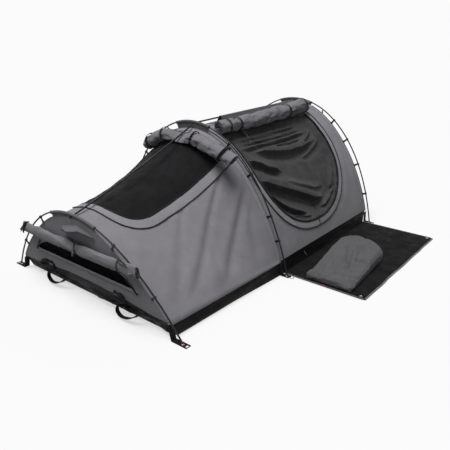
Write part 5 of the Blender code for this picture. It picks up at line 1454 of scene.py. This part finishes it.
def make_loops():
    for label, centre_x in (("left", -0.290), ("right", 0.345)):
        path = smooth_path([(centre_x + across, tub_foot_y(height) - 0.013 - out, height)
                            for across, out, height in LOOP_PATH], 60)
        normals = [Vector((point.x - centre_x - 0.010, 0, point.z - 0.052)).normalized() for point in path]
        piece(label + "_loop", ribbon(path, normals, 0.0240, 0.0040), webbing, label + "_carry_loop")


def make_storage_straps():
    """The storage straps' lower ends and folded tails beside the buckles, and the tub's lap up the wall."""
    straps = []
    for centre_x, turn in ((-0.330, 1), (0.262, -1)):
        down = [on_foot_end(centre_x + turn * 0.004 * math.sin(z * 60), z, 0.0040) for z in steps(14, 0.150, 0.098)]
        down += [Vector((centre_x, tub_foot_y(z) - 0.005, z)) for z in steps(14, 0.094, 0.030)]
        tail = smooth_path([on_foot_end(centre_x + turn * across, height, out) for across, out, height in TAIL_PATH], 70)
        straps += [ribbon(down, TO_FOOT, STRAP_WIDTH, 0.0018),
                   ribbon(tail, Vector((0.2, -0.7, 0.6)).normalized(), STRAP_WIDTH, 0.0024)]
    piece("storage_straps", Part(*straps), webbing)
    keeper = [on_foot_end(x, 0.108, 0.0060) for x in steps(4, -0.392, -0.422)]
    piece("strap_keepers", ribbon(keeper, TO_FOOT, 0.016, 0.0020), webbing_grey)
    rows = []
    for share in steps(5):
        row = []
        for x in steps(70, -0.56, 0.56):
            top = 0.034 * max(0, 1 - (x / 0.52) ** 2) + 0.003 * fractal(x * 9, 3.3)
            lift = 0.0024 + 0.0022 * fractal(x * 16, share * 2, 4) ** 2
            row.append(on_foot_end(x, TUB_HEIGHT - 0.004 + (top + 0.004) * share, lift))
        rows.append(row)
    piece("foot_wall_lap", cloth_grid(rows, TO_FOOT, 0.0018), pvc)


# Mat and bag

MAT_INNER_X = 0.6860
MAT_ENDS = ((-0.1045, -1), (1.0485, 1))


def mat_edge(y):
    """The mat's outer edge wanders a little."""
    return 1.2392 + 0.0045 * fractal(y * 5, 1.0)


def make_mat():
    def put(name, parts, material, node=None):
        piece(name, Part(*parts), material, node, "mat")

    rows = [[Vector((x, y, 0.0048)) for x in steps(44, MAT_INNER_X, mat_edge(y))] for y in steps(60, -0.106, 1.050)]
    sheet("mat_sheet", rows, UP, CANVAS, mat_pvc, "entry_mat", body="mat")
    put("mat_hems", [ribbon([Vector((x, y, 0.0049)) for x in steps(40, 0.700, 1.222)], UP, 0.018, 0.0010)
                     for y, _ in MAT_ENDS], webbing)
    edges = [ribbon([Vector((mat_edge(y) + away, y, z)) for y in steps(60, -0.100, 1.044)], out, width, thickness)
             for away, z, out, width, thickness in ((-0.0030, 0.0052, UP, 0.0090, 0.0012),
                                                    (0.0014, 0.0032, Vector((1, 0, 0)), 0.0046, 0.0008))]
    for y, side in MAT_ENDS:
        edges += [ribbon([Vector((x, y + away, z)) for x in steps(40, 0.700, 1.228)], out, width, thickness)
                  for away, z, out, width, thickness in ((0, 0.0056, UP, 0.0052, 0.0012),
                                                         (0.0028 * side, 0.0034, TO_HEAD * side, 0.0044, 0.0008))]
    put("mat_edge_binding", edges, binding, "mat_binding")
    rings = [circle(Vector((1.203, y, 0.0055)), Vector((1, 0, 0)), TO_HEAD, 0.0075, 24) for y in (-0.084, 1.028)]
    put("mat_eyelets", [tube(ring, 0.0014, closed=True) for ring in rings], steel)
    stud = ((0, 0.0060), (0.0016, 0.0060), (0.0022, 0.0050))
    put("mat_marks", [turned(Vector((x, y, 0.0052)), UP, stud) for x, y in ((0.962, -0.1000), (0.935, 1.0420))], tip_paint)


# The bag's extent, and its creases: a line of x and y, width and depth
BAG_LOW_X, BAG_HIGH_X, BAG_LOW_Y, BAG_HIGH_Y = 0.790, 1.146, -0.098, 0.545
BAG_BASE = 0.0052
BAG_HEIGHT = 0.056
BAG_CREASES = (((1.000, 0.360), (1.058, 0.100), 0.036, 0.024), ((0.965, 0.310), (1.030, 0.110), 0.010, 0.010),
               ((0.930, 0.320), (1.000, 0.150), 0.024, 0.012), ((0.850, 0.180), (0.905, -0.030), 0.018, 0.011),
               ((0.840, -0.020), (0.935, -0.098), 0.010, 0.013), ((1.020, 0.240), (1.120, 0.200), 0.014, 0.014),
               ((1.000, -0.010), (1.120, 0.020), 0.012, 0.011), ((0.905, -0.040), (1.000, -0.060), 0.009, 0.008),
               ((0.880, 0.520), (1.105, 0.398), 0.0055, 0.0080), ((0.868, 0.492), (1.098, 0.366), 0.0055, 0.0070))


def bag_shape(co):
    """The bag's lean, its full closed end, the hollow in its middle and its creases and seams."""
    share = (co.y - BAG_LOW_Y) / (BAG_HIGH_Y - BAG_LOW_Y)
    across = (co.x - BAG_LOW_X) / (BAG_HIGH_X - BAG_LOW_X)
    x = mix(mix(0.833, BAG_LOW_X, ease(share * 1.2)), mix(BAG_HIGH_X, 1.114, ease(share)), across)
    tall = (0.050 + 0.040 * ease(share * 1.15)) * (1 - 0.30 * max(0, across) ** 3)
    drop = 0.007 * fractal(co.x * 18.0 + co.y * 8, co.y * 14.0, 6.0, 3) + 0.010 * fractal(co.x * 7.0, co.y * 5.5, 3.0, 2)
    for start, end, width, depth in BAG_CREASES:
        run = Vector(end) - Vector(start)
        reach = Vector((x, co.y)) - Vector(start)
        gap = (reach - run * min(max(reach.dot(run) / run.dot(run), 0), 1)).length
        drop += depth * math.exp(-(gap / width) ** 2)
    return Vector((x, co.y, BAG_BASE + (co.z - BAG_BASE) / BAG_HEIGHT * tall - ease((co.z - 0.030) / 0.03) * drop))


def make_bag():
    bag = soft_block("bag_shell", "gear_bag", canvas_bag, (BAG_LOW_X, BAG_HIGH_X, BAG_LOW_Y, BAG_HIGH_Y), BAG_BASE,
                     BAG_HEIGHT, (0.13, 0.11, 0.016, 0.014), 0.045, 0.0050, 4.0, 20, "bag", bag_shape)


def dress_nodes():
    """Finer materials on the CAD pieces that keep their shape."""
    looks = {"pole_tip": tip_paint, "ridge_tip": tip_paint, "ridge_cap": plastic, "peg_ring": steel, "buckle": plastic,
             "zip_slider": plastic, "zip_pull": webbing, "ridge_pole": pole_paint}
    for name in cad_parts:
        item = bpy.data.objects.get(name)
        for word, material in looks.items():
            if item and word in name:
                for place in item.material_slots:
                    place.material = material


# Studio

AMBIENT = 0.15
KEY_FROM = (-0.05, -0.27, 1.0)
KEY_SPREAD = 40
BACKDROP = (0.965, 0.965, 0.965, 1)
FLOOR_BOUNCE = (0.20, 0.20, 0.20, 1)
FLOOR_SHADED = (0.385, 0.385, 0.385, 1)
FLOOR_GLOW = 0.58
FLOOR_REACH = 30
FLOOR_DEPTH = -0.0005
WHITE = (1, 1, 1, 1)
LENS = 40.87
SENSOR = 36
CAMERA_PLACE = (2.2264, -2.5977, 1.4695)
CAMERA_TURN = math.radians(38.98)
CAMERA_TILT = math.radians(21.45)


def backdrop_rays(tree):
    """One for rays that come from the camera, a mirror or glass, and nought for the rest."""
    path = tree.nodes.new("ShaderNodeLightPath")
    total = path.outputs["Is Camera Ray"]
    for kind in ("Is Glossy Ray", "Is Transmission Ray"):
        join = tree.nodes.new("ShaderNodeMath")
        join.operation = "MAXIMUM"
        tree.links.new(total, join.inputs[0])
        tree.links.new(path.outputs[kind], join.inputs[1])
        total = join.outputs[0]
    return total


def make_floor():
    mesh = bpy.data.meshes.new("floor")
    corners = [(x * FLOOR_REACH, y * FLOOR_REACH, FLOOR_DEPTH) for x, y in ((-1, -1), (1, -1), (1, 1), (-1, 1))]
    mesh.from_pydata(corners, [], [(0, 1, 2, 3)])
    white = bpy.data.materials.new("floor")
    white.use_nodes = True
    tree = white.node_tree
    shader = tree.nodes["Principled BSDF"]
    seen = backdrop_rays(tree)
    shade = tree.nodes.new("ShaderNodeMix")
    shade.data_type = "RGBA"
    shade.inputs[6].default_value = FLOOR_BOUNCE
    shade.inputs[7].default_value = FLOOR_SHADED
    tree.links.new(seen, shade.inputs[0])
    tree.links.new(shade.outputs[2], shader.inputs["Base Color"])
    glow = tree.nodes.new("ShaderNodeMath")
    glow.operation = "MULTIPLY"
    glow.inputs[1].default_value = FLOOR_GLOW
    tree.links.new(seen, glow.inputs[0])
    tree.links.new(glow.outputs[0], shader.inputs["Emission Strength"])
    shader.inputs["Emission Color"].default_value = WHITE
    shader.inputs["Roughness"].default_value = 0.9
    shader.inputs["Specular IOR Level"].default_value = 0.0
    mesh.materials.append(white)
    link("floor", mesh)


def make_light():
    world = bpy.data.worlds.new("studio")
    bpy.context.scene.world = world
    world.use_nodes = True
    tree = world.node_tree
    back = tree.nodes["Background"]
    back.inputs["Color"].default_value = WHITE
    back.inputs["Strength"].default_value = AMBIENT
    seen = tree.nodes.new("ShaderNodeBackground")
    seen.inputs["Color"].default_value = BACKDROP
    choose = tree.nodes.new("ShaderNodeMixShader")
    for place, socket in enumerate((backdrop_rays(tree), back.outputs[0], seen.outputs[0])):
        tree.links.new(socket, choose.inputs[place])
    tree.links.new(choose.outputs[0], tree.nodes["World Output"].inputs["Surface"])
    sun = bpy.data.lights.new("key", "SUN")
    toward = Vector(KEY_FROM).normalized()
    sun.energy = (1 - AMBIENT) * math.pi / toward.z
    sun.angle = math.radians(KEY_SPREAD)
    link("key", sun).rotation_euler = toward.to_track_quat("Z", "Y").to_euler()


def make_camera():
    camera = bpy.data.cameras.new("camera")
    camera.lens = LENS
    camera.sensor_width = SENSOR
    view = link("camera", camera)
    level = math.cos(CAMERA_TILT)
    back = Vector((math.sin(CAMERA_TURN) * level, -math.cos(CAMERA_TURN) * level, math.sin(CAMERA_TILT)))
    view.location = CAMERA_PLACE
    view.rotation_euler = (-back).to_track_quat("-Z", "Y").to_euler()
    bpy.context.scene.camera = view
    bpy.context.scene.view_settings.view_transform = "Standard"


make_floor()
make_light()
make_camera()
dress_nodes()
make_sections()
make_bands()
make_hems()
make_end_walls()
make_roof_netting()
make_door_netting()
make_far_cover()
make_door_roll()
make_roof_roll()
make_bar()
make_poles()
make_sleeves()
make_ridge_sleeve()
make_hooks()
make_tub()
make_mattress()
make_hood()
make_tabs()
make_loops()
make_storage_straps()
make_mat()
make_bag()
